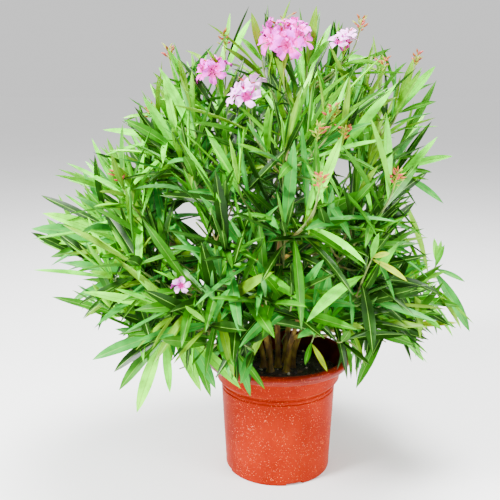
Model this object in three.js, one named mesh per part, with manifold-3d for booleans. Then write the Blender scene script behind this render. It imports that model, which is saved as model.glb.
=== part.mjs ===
import * as THREE from "three";
import { mergeVertices } from "three/addons/utils/BufferGeometryUtils.js";
import Module from "manifold-3d";

// A potted oleander in flower, in millimetres, +Z up, with the origin at the centre of the pot's
// flat underside. Seen from the front, which looks along +Y, +X is to the right.
// Several stems rise from the soil, each carries boughs, and each bough ends in one mass of shoots
// with lance-shaped leaves in whorls of three.

const wasm = await Module();
wasm.setup();

const DEGREE = Math.PI / 180;
const UP = new THREE.Vector3(0, 0, 1);

// Clearance between pieces that touch
const GAP = 0.3;

// Edges shorter than this, left where leaves cross, are closed up
const SHORTEST_EDGE = 0.02;

// Pot: a tapering body, a double groove, a slanting shoulder, a collar and a rolled lip
const POT_HEIGHT = 215;
const BASE_RADIUS = 95;
const BASE_CHAMFER = 2.5;
const BODY_RADIUS = 102.5;
const BODY_HEIGHT = 153;
const GROOVE_DEPTH = 2;
const LOWER_GROOVE_WIDTH = 4;
const RIDGE_WIDTH = 3;
const UPPER_GROOVE_WIDTH = 5;
const SHOULDER_RISE = 8;
const SHOULDER_LEDGE = 1;
const COLLAR_RADIUS = 112;
const COLLAR_DRAFT = 1;
const LIP_RADIUS = 130;
const LIP_ROLL = 8.5;
const LIP_STEPS = 5;
const MOUTH_RADIUS = 119;
const WALL = 2.6;
const FLOOR = 8;
const ROUND_SEGMENTS = 32;

// Drain notches cut into the edge of the pot's foot
const NOTCHES = 4;
const NOTCH_TURN = -73;
const NOTCH_WIDTH = 30;
const NOTCH_HEIGHT = 5;
const NOTCH_DEPTH = 12;

// Soil: flat round the stems and a little lower at the wall
const SOIL_LEVEL = 185;
const SOIL_FLAT_RADIUS = 48;
const SOIL_FALL = 4;

// The crown's hub, from which the masses of foliage fan out
const HUB = new THREE.Vector3(0, 0, 240);

// Six stems stand in a ring, one under each side of the crown, round a middle one
const SIDES = [
  ["right", 0],
  ["back_right", 60],
  ["back_left", 120],
  ["left", 180],
  ["front_left", 236],
  ["front_right", 304],
];

// The sides of the masses that the middle stem carries, and where their boughs leave it
const TOP_SIDES = [
  ["right", 0, 0.86],
  ["back", 90, 0.78],
  ["left", 180, 0.7],
  ["front", 270, 0.62],
];
const FRONT_TURN = 270;
const FRONT_LEAVE = 0.5;
const STEM_RING_RADIUS = 26;
const FORK_RADIUS = 62;
const FORK_HEIGHT = 300;
const MIDDLE_STEM_TOP = 405;
const STEM_FOOT_RADIUS = 7.5;
const STEM_RADIUS = 5.2;
const STEM_TIP_RADIUS = 4;
const FLARE_SHARE = 0.12;
const STEM_BEND_SHARE = 0.35;
const STEM_SIDES = 8;
const STEM_STEPS = 5;

// Boughs leave a stem from its side or from its end
const BOUGH_RADIUS = 3.6;
const BOUGH_TIP_RADIUS = 2.6;
const BOUGH_SIDES = 5;
const BOUGH_STEPS = 3;

// The tiers of the crown: how far each leans from upright and how much less it does in front,
// where its boughs leave the stem, how far out they end, how much its leaves hang, and how far its
// side shoots turn up at their ends
const TIERS = {
  crown: { tilt: 6, lift: 0, leave: 1, start: 0.44, startTilt: 4, droop: 0.05, rise: 0.4 },
  top: { tilt: 26, lift: 0, start: 0.42, startTilt: 24, droop: 0.1, rise: 0.6 },
  upper: { tilt: 47, lift: 4, leave: 1, start: 0.36, startTilt: 45, droop: 0.15, rise: 0.6 },
  side: { tilt: 67, lift: 10, leave: 0.84, start: 0.37, startTilt: 66, droop: 0.25, rise: 0.4 },
  low: { tilt: 98, lift: 18, leave: 0.52, start: 0.44, startTilt: 87, droop: 0.45, rise: 0 },
};

// How far the leaf tips reach from the hub, by the lean from upright in degrees, on four sides
const REACH = {
  right: [[0, 588], [12, 565], [30, 540], [42, 410], [52, 358], [64, 335], [88, 352], [100, 265],
    [112, 195], [125, 165]],
  back: [[0, 588], [20, 525], [35, 465], [50, 405], [70, 345], [90, 315], [105, 270], [125, 190]],
  left: [[0, 588], [21, 538], [35, 475], [48, 490], [66, 492], [80, 370], [90, 315], [98, 322],
    [119, 285]],
  front: [[0, 588], [20, 520], [35, 455], [50, 395], [70, 340], [90, 290], [105, 220], [125, 150]],
};

// How low leaves hang, as pairs of a place across the crown and a height, and how much that rises
// and spreads for each millimetre towards the front
const UNDERSIDE = [[-440, 300], [-320, 180], [-270, 85], [-215, 90], [-180, 128], [130, 150],
  [250, 185], [300, 222], [340, 250]];
const FRONT_LIFT = 0.42;
const FRONT_SPREAD = 0.001;

// Above this slanting plane the crown is closed in front; below it the soil and stems show
const WINDOW_LEFT = -42;
const WINDOW_RIGHT = 84;
const WINDOW_HEIGHT = 252;
const WINDOW_RISE = 0.3;

// Shoots, three-sided: a leader, and side shoots that end this deep in the crown, in leaf lengths
const SHOOT_DEPTHS = [0.8, 0.85, 0.95, 1.1, 1.3, 1.7];
const LEADER_RADIUS = 2.8;
const SHOOT_RADIUS = 2;
const SHOOT_TIP_RADIUS = 1.5;
const LEADER_STEPS = 2;
const SHOOT_STEPS = 1;
const SHOOT_SPREAD = 34;
const SHOOT_TRIES = 16;
const SHOOT_MARGIN = 14;
const SHOOT_END_SPREAD = 0.12;
const FORK_SLOPE = 1.2;
const LAST_FORK_SHARE = 0.85;
const SHOOT_BEND_SHARE = 0.4;

// Shoot tips that stand out, in place of a mass's first side shoots, and how far each turns up
const SHOOT_TIPS = [
  { at: [-285, -20, 424], rise: 0 },
  { at: [-216, -100, 378], rise: -0.2 },
  { at: [-197, -127, 271], rise: -1.6 },
  { at: [42, -240, 521], rise: 1.6 },
  { at: [278, -10, 384], rise: 1.6 },
  { at: [123, -160, 413], rise: 1 },
  { at: [197, -60, 295], rise: -0.3 },
  { at: [255, -20, 300], rise: -0.5 },
  { at: [-68, -200, 544], rise: 1 },
  { at: [-136, -120, 618], rise: 0.8 },
  { at: [-245, -50, 245], rise: -0.6 },
  { at: [-172, 0, 612], rise: 0.6 },
  { at: [-226, 20, 545], rise: 0.5 },
  { at: [212, 20, 590], rise: 0.8 },
  { at: [-265, -10, 490], rise: 0.4 },
  { at: [90, -190, 300], rise: 0.2 },
  { at: [210, -40, 244], rise: -0.2 },
];

// Leaves in whorls of three: each whorl is turned half a step from the last
const LEAF_LENGTH = 150;
const LEAF_WIDTH_SHARE = 0.29;
const LEAF_THICKNESS_SHARE = 0.019;
const LEAF_WIDEST_SHARE = 0.45;
const LEAF_RIDGE_SHARE = 0.04;
const LEAF_ROOT_SINK = 1.1;
const WHORL_LEAVES = 3;
const WHORLS = [
  { back: 6, angle: 24, size: 0.86 },
  { back: 38, angle: 58, size: 1 },
  { back: 72, angle: 66, size: 0.9 },
];
const SIDE_SHOOT_WHORLS = 2;
const LEADER_NARROWING = 0.45;
const LEAF_TRIMS = [1, 0.9, 0.8, 0.7, 0.6];
const ANGLE_SPREAD = 16;
const LENGTH_SPREAD = 0.2;
const LEAST_LEADER = 46;

// The lowest whorl and the lowest side shoot stay this far from the foot of their shoot
const FOOT_CLEARANCE = 10;

// Each mass keeps this far inside its wedge of the crown, and this far from limbs and pot
const WEDGE_MARGIN = 0.8;
const LIMB_MARGIN = 1.2;
const POT_MARGIN = 3;
const EDGE_SAMPLES = 8;

// Flower heads, each a lumpy dome of blossom at its place in the crown
const FLOWER_HEADS = [
  { at: [4, -40, 752], radius: 44 },
  { at: [-106, -60, 715], radius: 26 },
  { at: [-56, -150, 668], radius: 27 },
  { at: [110, -10, 755], radius: 24 },
  { at: [-150, -225, 395], radius: 16 },
];
const HEAD_HEIGHT_SHARE = 0.75;
const HEAD_LUMPS = 0.3;
const SEED = 417;

// Colours and roughness of the materials
const LOOKS = {
  pot: { color: 0xc4532c, roughness: 0.45 },
  soil: { color: 0x17110d, roughness: 0.95 },
  bark: { color: 0x6b5637, roughness: 0.85 },
  leaves: { color: 0x3f7f35, roughness: 0.55 },
};

// Random numbers from 0 to 1 that are the same on every run
function seeded(seed) {
  let state = seed >>> 0;
  return () => {
    state = (state + 0x6d2b79f5) >>> 0;
    let mixed = Math.imul(state ^ (state >>> 15), 1 | state);
    mixed = (mixed + Math.imul(mixed ^ (mixed >>> 7), 61 | mixed)) ^ mixed;
    return ((mixed ^ (mixed >>> 14)) >>> 0) / 4294967296;
  };
}

// A factor near one, from a random number, with the given spread in all
function nearOne(random, spread) {
  return 1 + (random - 0.5) * spread;
}

// The geometry with nothing but shared vertices and its faces
function bare(geometry) {
  geometry.deleteAttribute("normal");
  geometry.deleteAttribute("uv");
  return mergeVertices(geometry, 1e-4);
}

function solidOf(geometry) {
  const closed = bare(geometry);
  return new wasm.Manifold(
    new wasm.Mesh({
      numProp: 3,
      vertProperties: new Float32Array(closed.attributes.position.array),
      triVerts: new Uint32Array(closed.index.array),
    }),
  );
}

function geometryOf(solid) {
  const mesh = solid.simplify(SHORTEST_EDGE).getMesh();
  const geometry = new THREE.BufferGeometry();
  geometry.setAttribute("position", new THREE.BufferAttribute(mesh.vertProperties, mesh.numProp));
  geometry.setIndex(new THREE.BufferAttribute(mesh.triVerts, 1));
  geometry.computeVertexNormals();
  return geometry;
}

// The largest body of a solid: loose scraps and sealed hollows are left behind
function largestBody(solid) {
  const bodies = solid.decompose();
  return bodies.reduce((a, b) => (b.volume() > a.volume() ? b : a));
}

function mesh(name, geometry, look) {
  const made = new THREE.Mesh(geometry, new THREE.MeshStandardMaterial({ ...look, metalness: 0 }));
  made.name = name;
  return made;
}

// A round solid from a profile of [radius, height] pairs that starts and ends on the axis
function turned(profile) {
  const points = profile.map(([radius, height]) => new THREE.Vector2(radius, height));
  return new THREE.LatheGeometry(points, ROUND_SEGMENTS).rotateX(90 * DEGREE);
}

function lipProfile() {
  const centre = [LIP_RADIUS - LIP_ROLL, POT_HEIGHT - LIP_ROLL];
  const points = [];
  for (let i = 0; i <= LIP_STEPS; i++) {
    const angle = (-90 + (180 * i) / LIP_STEPS) * DEGREE;
    points.push([centre[0] + LIP_ROLL * Math.cos(angle), centre[1] + LIP_ROLL * Math.sin(angle)]);
  }
  return points;
}

// Heights of the grooves and the shoulder above the body
const LOWER_GROOVE_TOP = BODY_HEIGHT + LOWER_GROOVE_WIDTH;
const RIDGE_TOP = LOWER_GROOVE_TOP + RIDGE_WIDTH;
const UPPER_GROOVE_TOP = RIDGE_TOP + UPPER_GROOVE_WIDTH;
const COLLAR_FOOT = UPPER_GROOVE_TOP + SHOULDER_RISE;
const LIP_FOOT = POT_HEIGHT - 2 * LIP_ROLL;
const GROOVE_RADIUS = BODY_RADIUS - GROOVE_DEPTH;

// The inside of the wall, from the mouth down to the floor
function innerProfile() {
  return [
    [MOUTH_RADIUS, POT_HEIGHT - WALL],
    [COLLAR_RADIUS - WALL, LIP_FOOT - WALL],
    [COLLAR_RADIUS - WALL - COLLAR_DRAFT, COLLAR_FOOT + WALL],
    [GROOVE_RADIUS - WALL, UPPER_GROOVE_TOP - WALL],
    [BASE_RADIUS - WALL, FLOOR],
  ];
}

function makePot() {
  const outer = [
    [0, 0],
    [BASE_RADIUS - BASE_CHAMFER, 0],
    [BASE_RADIUS, BASE_CHAMFER],
    [BODY_RADIUS, BODY_HEIGHT],
    [GROOVE_RADIUS, BODY_HEIGHT + LOWER_GROOVE_WIDTH / 2],
    [BODY_RADIUS, LOWER_GROOVE_TOP],
    [BODY_RADIUS, RIDGE_TOP],
    [GROOVE_RADIUS, RIDGE_TOP + UPPER_GROOVE_WIDTH / 2],
    [BODY_RADIUS + SHOULDER_LEDGE, UPPER_GROOVE_TOP],
    [COLLAR_RADIUS - COLLAR_DRAFT, COLLAR_FOOT],
    [COLLAR_RADIUS, LIP_FOOT],
  ];
  let pot = solidOf(turned([...outer, ...lipProfile(), ...innerProfile(), [0, FLOOR]]));
  for (let i = 0; i < NOTCHES; i++) {
    const notch = new THREE.BoxGeometry(2 * NOTCH_DEPTH, NOTCH_WIDTH, 2 * NOTCH_HEIGHT);
    notch.translate(BASE_RADIUS, 0, 0);
    notch.rotateZ((NOTCH_TURN + (360 * i) / NOTCHES) * DEGREE);
    pot = pot.subtract(solidOf(notch));
  }
  return mesh("pot", geometryOf(pot), LOOKS.pot);
}

// Soil that fills the pot to its level, clear of the wall and the floor
function makeSoil() {
  const [shoulder, body, foot] = innerProfile().slice(2);
  const edge = SOIL_LEVEL - SOIL_FALL;
  const profile = [
    [0, FLOOR + GAP],
    [foot[0] - GAP, FLOOR + GAP],
    [body[0] - GAP, body[1]],
    [shoulder[0] - GAP, shoulder[1] + GAP],
    [shoulder[0] - GAP, edge],
    [SOIL_FLAT_RADIUS, SOIL_LEVEL],
    [0, SOIL_LEVEL],
  ];
  return mesh("soil", turned(profile), LOOKS.soil);
}

// The direction that leans by tilt from upright, on the side given by turn, both in degrees
function heading(turn, tilt) {
  return new THREE.Vector3(
    Math.cos(turn * DEGREE) * Math.sin(tilt * DEGREE),
    Math.sin(turn * DEGREE) * Math.sin(tilt * DEGREE),
    Math.cos(tilt * DEGREE),
  );
}

function valueAt(rows, angle) {
  const next = rows.findIndex((row) => row[0] >= angle);
  if (next === 0) return rows[0][1];
  if (next < 0) return rows[rows.length - 1][1];
  const [low, high] = [rows[next - 1], rows[next]];
  return low[1] + ((high[1] - low[1]) * (angle - low[0])) / (high[0] - low[0]);
}

// How far the crown reaches from the hub in a direction
function reachAlong(direction) {
  const tilt = Math.acos(THREE.MathUtils.clamp(direction.z, -1, 1)) / DEGREE;
  const flat = Math.hypot(direction.x, direction.y) || 1;
  const across = (direction.x / flat) ** 2;
  const deep = 1 - across;
  const beside = direction.x > 0 ? REACH.right : REACH.left;
  const along = direction.y > 0 ? REACH.back : REACH.front;
  return across * valueAt(beside, tilt) + deep * valueAt(along, tilt);
}

// A tapering limb: a cylinder bent along a curve, its ends square to it
function bentLimb(curve, radiusAt, sides, steps, roll = 0) {
  const frames = curve.computeFrenetFrames(steps, false);
  const geometry = new THREE.CylinderGeometry(1, 1, 1, sides, steps);
  geometry.rotateY(roll * DEGREE);
  const position = geometry.attributes.position;
  const point = new THREE.Vector3();
  for (let i = 0; i < position.count; i++) {
    point.fromBufferAttribute(position, i);
    const step = Math.round((point.y + 0.5) * steps);
    const share = step / steps;
    const radius = radiusAt(share);
    const at = curve.getPointAt(share);
    at.addScaledVector(frames.binormals[step], point.x * radius);
    at.addScaledVector(frames.normals[step], point.z * radius);
    position.setXYZ(i, at.x, at.y, at.z);
  }
  return solidOf(geometry);
}

function taper(from, to) {
  return (share) => from + (to - from) * share;
}

// A stem's radius swells into its foot
function stemRadius(share) {
  const swell = Math.max(0, 1 - share / FLARE_SHARE) ** 2;
  return taper(STEM_RADIUS, STEM_TIP_RADIUS)(share) + (STEM_FOOT_RADIUS - STEM_RADIUS) * swell;
}

function widened(radiusAt, by) {
  return (share) => radiusAt(share) + by;
}

// A limb's course as short pieces with a radius, against which leaves are tested
function piecesOf(curve, radiusAt, steps) {
  const pieces = [];
  for (let i = 0; i < steps; i++) {
    const a = curve.getPointAt(i / steps);
    const b = curve.getPointAt((i + 1) / steps);
    pieces.push({ a, b, radius: radiusAt(i / steps) });
  }
  return pieces;
}

// A stem: upright where it leaves the soil, then leaning out to its fork
function makeStem(name, foot, fork, lean) {
  const bend = (fork.z - foot.z) * STEM_BEND_SHARE;
  const curve = new THREE.CubicBezierCurve3(
    foot,
    foot.clone().addScaledVector(UP, bend),
    fork.clone().addScaledVector(lean, -bend),
    fork,
  );
  const solid = bentLimb(curve, stemRadius, STEM_SIDES, STEM_STEPS);
  const grown = bentLimb(curve, widened(stemRadius, GAP), STEM_SIDES, STEM_STEPS);
  return { name, curve, solid, grown, pieces: piecesOf(curve, stemRadius, STEM_STEPS) };
}

function makeStems() {
  const ground = SOIL_LEVEL + GAP;
  const stems = SIDES.map(([side, turn]) => {
    const out = heading(turn, 90);
    const foot = out.clone().multiplyScalar(STEM_RING_RADIUS).setZ(ground);
    const fork = out.clone().multiplyScalar(FORK_RADIUS).setZ(FORK_HEIGHT);
    return makeStem("stem_" + side, foot, fork, heading(turn, TIERS.upper.tilt / 2));
  });
  const foot = new THREE.Vector3(0, 0, ground);
  const top = new THREE.Vector3(0, 0, MIDDLE_STEM_TOP);
  stems.push(makeStem("stem_middle", foot, top, heading(0, TIERS.crown.tilt)));
  return stems;
}

// A bough: it leaves its stem at a share of the stem's length and ends at its mass
function makeBough(name, stem, leave, end, aim) {
  const from = stem.curve.getPointAt(leave);
  const along = stem.curve.getTangentAt(leave);
  if (leave === 1) from.addScaledVector(along, GAP);
  const length = from.distanceTo(end);
  const outward = end.clone().sub(from).normalize();
  const first = leave === 1 ? along : along.clone().add(outward).normalize();
  const curve = new THREE.CubicBezierCurve3(
    from,
    from.clone().addScaledVector(first, length / 3),
    end.clone().addScaledVector(aim, -length / 3),
    end,
  );
  const radiusAt = taper(BOUGH_RADIUS, BOUGH_TIP_RADIUS);
  const whole = bentLimb(curve, radiusAt, BOUGH_SIDES, BOUGH_STEPS);
  const solid = largestBody(whole.subtract(stem.grown));
  return { name, curve, solid, pieces: piecesOf(curve, radiusAt, BOUGH_STEPS) };
}

// The masses of foliage, tier by tier, each with its side of the crown, its stem and its bough
function planMasses(stems) {
  const middle = stems[SIDES.length];
  const masses = [{ tier: "crown", side: "middle", turn: 0, stem: middle, leave: TIERS.crown.leave }];
  for (const [side, turn, leave] of TOP_SIDES) {
    masses.push({ tier: "top", side, turn, stem: middle, leave });
  }
  masses.push({ tier: "upper", side: "front", turn: FRONT_TURN, stem: middle, leave: FRONT_LEAVE });
  for (const tier of ["upper", "side", "low"]) {
    SIDES.forEach(([side, turn], i) => {
      masses.push({ tier, side, turn, stem: stems[i], leave: TIERS[tier].leave });
    });
  }
  for (const mass of masses) {
    const shape = TIERS[mass.tier];
    const lift = shape.lift * Math.max(0, -heading(mass.turn, 90).y);
    mass.name = mass.tier + "_" + mass.side;
    mass.axis = heading(mass.turn, shape.tilt - lift);
    mass.droop = shape.droop;
    mass.rise = shape.rise;
    const startAxis = heading(mass.turn, shape.startTilt - lift);
    const start = HUB.clone().addScaledVector(startAxis, shape.start * reachAlong(startAxis));
    mass.bough = makeBough("bough_" + mass.name, mass.stem, mass.leave, start, startAxis);
  }
  return masses;
}

// Whether a point lies in the wedge of directions that is nearest to the mass's own axis
function inWedge(point, mass, masses, margin) {
  const from = point.clone().sub(HUB);
  return masses.every((other) => {
    if (other === mass) return true;
    const across = other.axis.clone().sub(mass.axis).normalize();
    return from.dot(across) <= -margin;
  });
}

// How low leaves hang at a place: lowest to the left, and higher towards the front
function underside(point) {
  const front = Math.max(0, -point.y);
  return valueAt(UNDERSIDE, point.x * (1 + FRONT_SPREAD * front)) + FRONT_LIFT * front;
}

// Whether a point lies in the crown's outline, clear of the pot and of the front window
function inCrown(point) {
  const from = point.clone().sub(HUB);
  const distance = from.length();
  if (distance > 1 && distance > reachAlong(from.divideScalar(distance)) + 1) return false;
  if (point.z < underside(point)) return false;
  const overPot = Math.hypot(point.x, point.y) < LIP_RADIUS + POT_MARGIN;
  if (overPot && point.z < POT_HEIGHT + POT_MARGIN) return false;
  const inWindow = point.y < 0 && point.x > WINDOW_LEFT && point.x < WINDOW_RIGHT;
  return !inWindow || point.z > WINDOW_HEIGHT - WINDOW_RISE * point.y;
}

// The shortest distance between two straight pieces
function pieceDistance(a, b, c, d) {
  const u = b.clone().sub(a);
  const v = d.clone().sub(c);
  const w = a.clone().sub(c);
  const uu = u.dot(u);
  const vv = v.dot(v);
  const uv = u.dot(v);
  const uw = u.dot(w);
  const vw = v.dot(w);
  const slant = uu * vv - uv * uv;
  const clamp = (value) => Math.min(1, Math.max(0, value));
  let s = slant > 1e-9 ? clamp((uv * vw - vv * uw) / slant) : 0;
  const t = clamp((uv * s + vw) / vv);
  s = clamp((uv * t - uw) / uu);
  return w.addScaledVector(u, s).addScaledVector(v, -t).length();
}

function clearOfLimbs(edges, limbs) {
  return limbs.every((limb) =>
    limb.pieces.every((piece) =>
      edges.every(([a, b]) => pieceDistance(a, b, piece.a, piece.b) > piece.radius + LIMB_MARGIN),
    ),
  );
}

// Whether straight edges keep to the mass's wedge and to the crown, and touch no limb
function fits(edges, mass, masses, limbs) {
  const inside = edges.every(([a, b]) => {
    for (let i = 0; i <= EDGE_SAMPLES; i++) {
      if (!inCrown(a.clone().lerp(b, i / EDGE_SAMPLES))) return false;
    }
    return inWedge(a, mass, masses, WEDGE_MARGIN) && inWedge(b, mass, masses, WEDGE_MARGIN);
  });
  return inside && clearOfLimbs(edges, limbs);
}

const OCTAHEDRON = bare(new THREE.OctahedronGeometry(1));

// A leaf of eight faces: an octahedron drawn out from root to tip, widest before its middle
function leafGeometry(root, along, face, length) {
  const side = face.clone().cross(along);
  const geometry = OCTAHEDRON.clone();
  const position = geometry.attributes.position;
  const corner = new THREE.Vector3();
  for (let i = 0; i < position.count; i++) {
    corner.fromBufferAttribute(position, i);
    let share = corner.x > 0.5 ? 1 : 0;
    if (Math.abs(corner.y) > 0.5) share = LEAF_WIDEST_SHARE;
    if (Math.abs(corner.z) > 0.5) share = LEAF_RIDGE_SHARE;
    const sink = corner.x < -0.5 ? LEAF_ROOT_SINK : 0;
    const at = root.clone().addScaledVector(along, share * length - sink);
    at.addScaledVector(side, (corner.y * LEAF_WIDTH_SHARE * length) / 2);
    at.addScaledVector(face, (corner.z * LEAF_THICKNESS_SHARE * length) / 2);
    position.setXYZ(i, at.x, at.y, at.z);
  }
  return geometry;
}

function edgesOf(geometry) {
  const position = geometry.attributes.position;
  const corners = [];
  for (let i = 0; i < position.count; i++) {
    corners.push(new THREE.Vector3().fromBufferAttribute(position, i));
  }
  const edges = [];
  const { array } = geometry.index;
  for (let i = 0; i < array.length; i += 3) {
    for (let k = 0; k < 3; k++) {
      const [a, b] = [array[i + k], array[i + ((k + 1) % 3)]];
      if (a < b) edges.push([corners[a], corners[b]]);
    }
  }
  return edges;
}

// Two directions square to a given one
function crossPair(along) {
  const other = Math.abs(along.z) > 0.9 ? new THREE.Vector3(1, 0, 0) : UP;
  const first = other.clone().cross(along).normalize();
  return [first, along.clone().cross(first)];
}

// The point and the direction of a course of straight pieces at a share of its length
function alongCourse(course, share) {
  const step = Math.min(course.length - 1, Math.floor(share * course.length));
  const { a, b } = course[step];
  const point = a.clone().lerp(b, share * course.length - step);
  return { step, point, along: b.clone().sub(a).normalize() };
}

// The leaves of one whorl, each trimmed to the space it has or left out
function growWhorl(shoot, whorl, narrowing, turn, space) {
  const share = Math.max(FOOT_CLEARANCE, shoot.length - whorl.back) / shoot.length;
  const { step, point: root, along } = alongCourse(shoot.course, share);
  const first = shoot.frames.normals[step];
  const second = shoot.frames.binormals[step];
  const others = [...space.leaves, ...space.twigs.filter((twig) => twig !== shoot.twig)];
  for (let i = 0; i < WHORL_LEAVES; i++) {
    const round = turn + (360 * i) / WHORL_LEAVES;
    const angle = (whorl.angle + (space.random() - 0.5) * ANGLE_SPREAD) * narrowing * DEGREE;
    const size = LEAF_LENGTH * whorl.size * nearOne(space.random(), LENGTH_SPREAD);
    const out = first.clone().multiplyScalar(Math.cos(round * DEGREE));
    out.addScaledVector(second, Math.sin(round * DEGREE));
    const direction = along.clone().multiplyScalar(Math.cos(angle)).addScaledVector(out, Math.sin(angle));
    direction.addScaledVector(UP, -space.mass.droop).normalize();
    const face = along.clone().addScaledVector(direction, -along.dot(direction)).normalize();
    for (const trim of LEAF_TRIMS) {
      const geometry = leafGeometry(root, direction, face, size * trim);
      if (!fits(edgesOf(geometry), space.mass, space.masses, space.limbs)) continue;
      const leaf = solidOf(geometry);
      if (others.some((other) => !leaf.intersect(other).isEmpty())) continue;
      space.leaves.push(leaf);
      break;
    }
  }
}

// The leaves of all the shoots of a mass; the leader's last whorl points straight ahead
function growLeaves(shoots, space) {
  shoots.forEach((shoot, index) => {
    let turn = shoot.roll + 180 / WHORL_LEAVES;
    WHORLS.slice(0, index === 0 ? WHORLS.length : SIDE_SHOOT_WHORLS).forEach((whorl, order) => {
      growWhorl(shoot, whorl, index + order === 0 ? LEADER_NARROWING : 1, turn, space);
      turn += 180 / WHORL_LEAVES;
    });
  });
}

// A bare shoot along a curve
function makeShoot(curve, radius, steps, space) {
  const radiusAt = taper(radius, SHOOT_TIP_RADIUS);
  const shoot = { course: piecesOf(curve, radiusAt, steps), length: curve.getLength() };
  shoot.frames = curve.computeFrenetFrames(steps, false);
  shoot.roll = 360 * space.random();
  shoot.twig = bentLimb(curve, radiusAt, 3, steps, shoot.roll);
  shoot.fits = fits(shoot.course.map(({ a, b }) => [a, b]), space.mass, space.masses, space.limbs);
  return shoot;
}

// The end of the next side shoot: the candidate that lies furthest from the shoots so far
function nextEnd(space, depth, ends) {
  let best = null;
  let bestDistance = -1;
  for (let i = 0; i < SHOOT_TRIES; i++) {
    const [first, second] = crossPair(space.mass.axis);
    const spread = SHOOT_SPREAD * Math.sqrt(space.random()) * DEGREE;
    const round = space.random() * 2 * Math.PI;
    const direction = space.mass.axis.clone().multiplyScalar(Math.cos(spread));
    direction.addScaledVector(first, Math.sin(spread) * Math.cos(round));
    direction.addScaledVector(second, Math.sin(spread) * Math.sin(round));
    const deep = depth * LEAF_LENGTH * nearOne(space.random(), SHOOT_END_SPREAD);
    const far = reachAlong(direction) - deep;
    const end = HUB.clone().addScaledVector(direction, far);
    if (!inWedge(end, space.mass, space.masses, SHOOT_MARGIN) || !inCrown(end)) continue;
    const distance = Math.min(...ends.map((other) => other.distanceTo(end)));
    if (distance > bestDistance) {
      best = end;
      bestDistance = distance;
    }
  }
  return best;
}

// A side shoot leaves the leader below its end and curves out and up to it
function sideCurve(leader, end, rise) {
  const start = leader.course[0].a;
  const chord = leader.course[leader.course.length - 1].b.clone().sub(start);
  const length = chord.length();
  chord.divideScalar(length);
  const along = end.clone().sub(start).dot(chord);
  const off = end.clone().sub(start).addScaledVector(chord, -along).length();
  const wanted = along - FORK_SLOPE * off;
  const leave = THREE.MathUtils.clamp(wanted, FOOT_CLEARANCE, length * LAST_FORK_SHARE);
  const from = alongCourse(leader.course, leave / length).point;
  const outward = end.clone().sub(HUB).normalize().addScaledVector(UP, rise).normalize();
  const bend = end.clone().addScaledVector(outward, -SHOOT_BEND_SHARE * from.distanceTo(end));
  return new THREE.QuadraticBezierCurve3(from, bend, end);
}

// A flower head at the tip of a shoot: a flattened ball with lumps for its flowers
function flowerHead(shoot, head, random) {
  const { point: tip, along } = alongCourse(shoot.course, 1);
  const [first, second] = crossPair(along);
  const geometry = bare(new THREE.IcosahedronGeometry(1, 1));
  const position = geometry.attributes.position;
  const point = new THREE.Vector3();
  for (let i = 0; i < position.count; i++) {
    point.fromBufferAttribute(position, i);
    point.multiplyScalar(head.radius * (1 - HEAD_LUMPS * random()));
    const at = tip.clone().addScaledVector(along, point.y * HEAD_HEIGHT_SHARE);
    at.addScaledVector(first, point.z).addScaledVector(second, point.x);
    position.setXYZ(i, at.x, at.y, at.z);
  }
  return solidOf(geometry);
}

// The leader of a mass goes on from its bough, 0.3 mm clear, nearly to the tip of the crown there
function leaderCurve(mass) {
  const start = mass.bough.curve.getPointAt(1);
  const aim = mass.bough.curve.getTangentAt(1);
  start.addScaledVector(aim, GAP);
  const tip = HUB.clone().addScaledVector(mass.axis, reachAlong(mass.axis));
  const last = tip.clone().sub(start);
  const length = Math.max(LEAST_LEADER, last.length() - LEAF_LENGTH * WHORLS[0].size);
  const bend = start.clone().addScaledVector(aim, length / 2);
  const end = start.clone().addScaledVector(last.normalize(), length);
  return new THREE.QuadraticBezierCurve3(start, bend, end);
}

// A mass of foliage: a leader, side shoots that fork from it, and their leaves and flowers
function growMass(mass, index, masses, limbs) {
  const space = { mass, masses, limbs, twigs: [], leaves: [], random: seeded(SEED + index) };
  const leader = makeShoot(leaderCurve(mass), LEADER_RADIUS, LEADER_STEPS, space);
  const shoots = [leader];
  const ends = [alongCourse(leader.course, 1).point];
  const isHere = ({ at }) => inWedge(new THREE.Vector3(...at), mass, masses, 0);
  const heads = FLOWER_HEADS.filter(isHere);
  for (const head of heads) {
    const at = new THREE.Vector3(...head.at);
    const shoot = makeShoot(sideCurve(leader, at, mass.rise), SHOOT_RADIUS, SHOOT_STEPS, space);
    space.twigs.push(flowerHead(shoot, head, space.random));
    shoots.push(shoot);
    ends.push(at);
  }
  const tips = SHOOT_TIPS.filter(isHere);
  SHOOT_DEPTHS.forEach((depth, i) => {
    const end = i < tips.length ? new THREE.Vector3(...tips[i].at) : nextEnd(space, depth, ends);
    if (!end) return;
    const rise = i < tips.length ? tips[i].rise : mass.rise;
    const shoot = makeShoot(sideCurve(leader, end, rise), SHOOT_RADIUS, SHOOT_STEPS, space);
    if (!shoot.fits) return;
    shoots.push(shoot);
    ends.push(end);
  });
  space.twigs.push(...shoots.map((shoot) => shoot.twig));
  growLeaves(shoots, space);
  return largestBody([...space.twigs, ...space.leaves].reduce((whole, piece) => whole.add(piece)));
}

const plant = new THREE.Group();
const container = new THREE.Group();
container.add(makePot(), makeSoil());
plant.add(container);

const stems = makeStems();
const masses = planMasses(stems);
const limbs = [...stems, ...masses.map((mass) => mass.bough)];
for (const limb of limbs) {
  plant.add(mesh(limb.name, geometryOf(limb.solid), LOOKS.bark));
}

const crown = new THREE.Group();
masses.forEach((mass, index) => {
  const solid = growMass(mass, index, masses, limbs);
  crown.add(mesh("leaves_" + mass.name, geometryOf(solid), LOOKS.leaves));
});
plant.add(crown);

export default plant;
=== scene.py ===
"""A potted oleander in flower, dressed for a studio picture, in metres with +Z up.

The pot, soil, stems, boughs and masses of foliage stand where the loaded frame has them. The crown
grows here by the same rule as there, carried on to more shoots, to leaves of life size, and to
blossom and buds.
"""

import math
import random

import bpy
from mathutils import Matrix, Vector, noise


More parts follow.
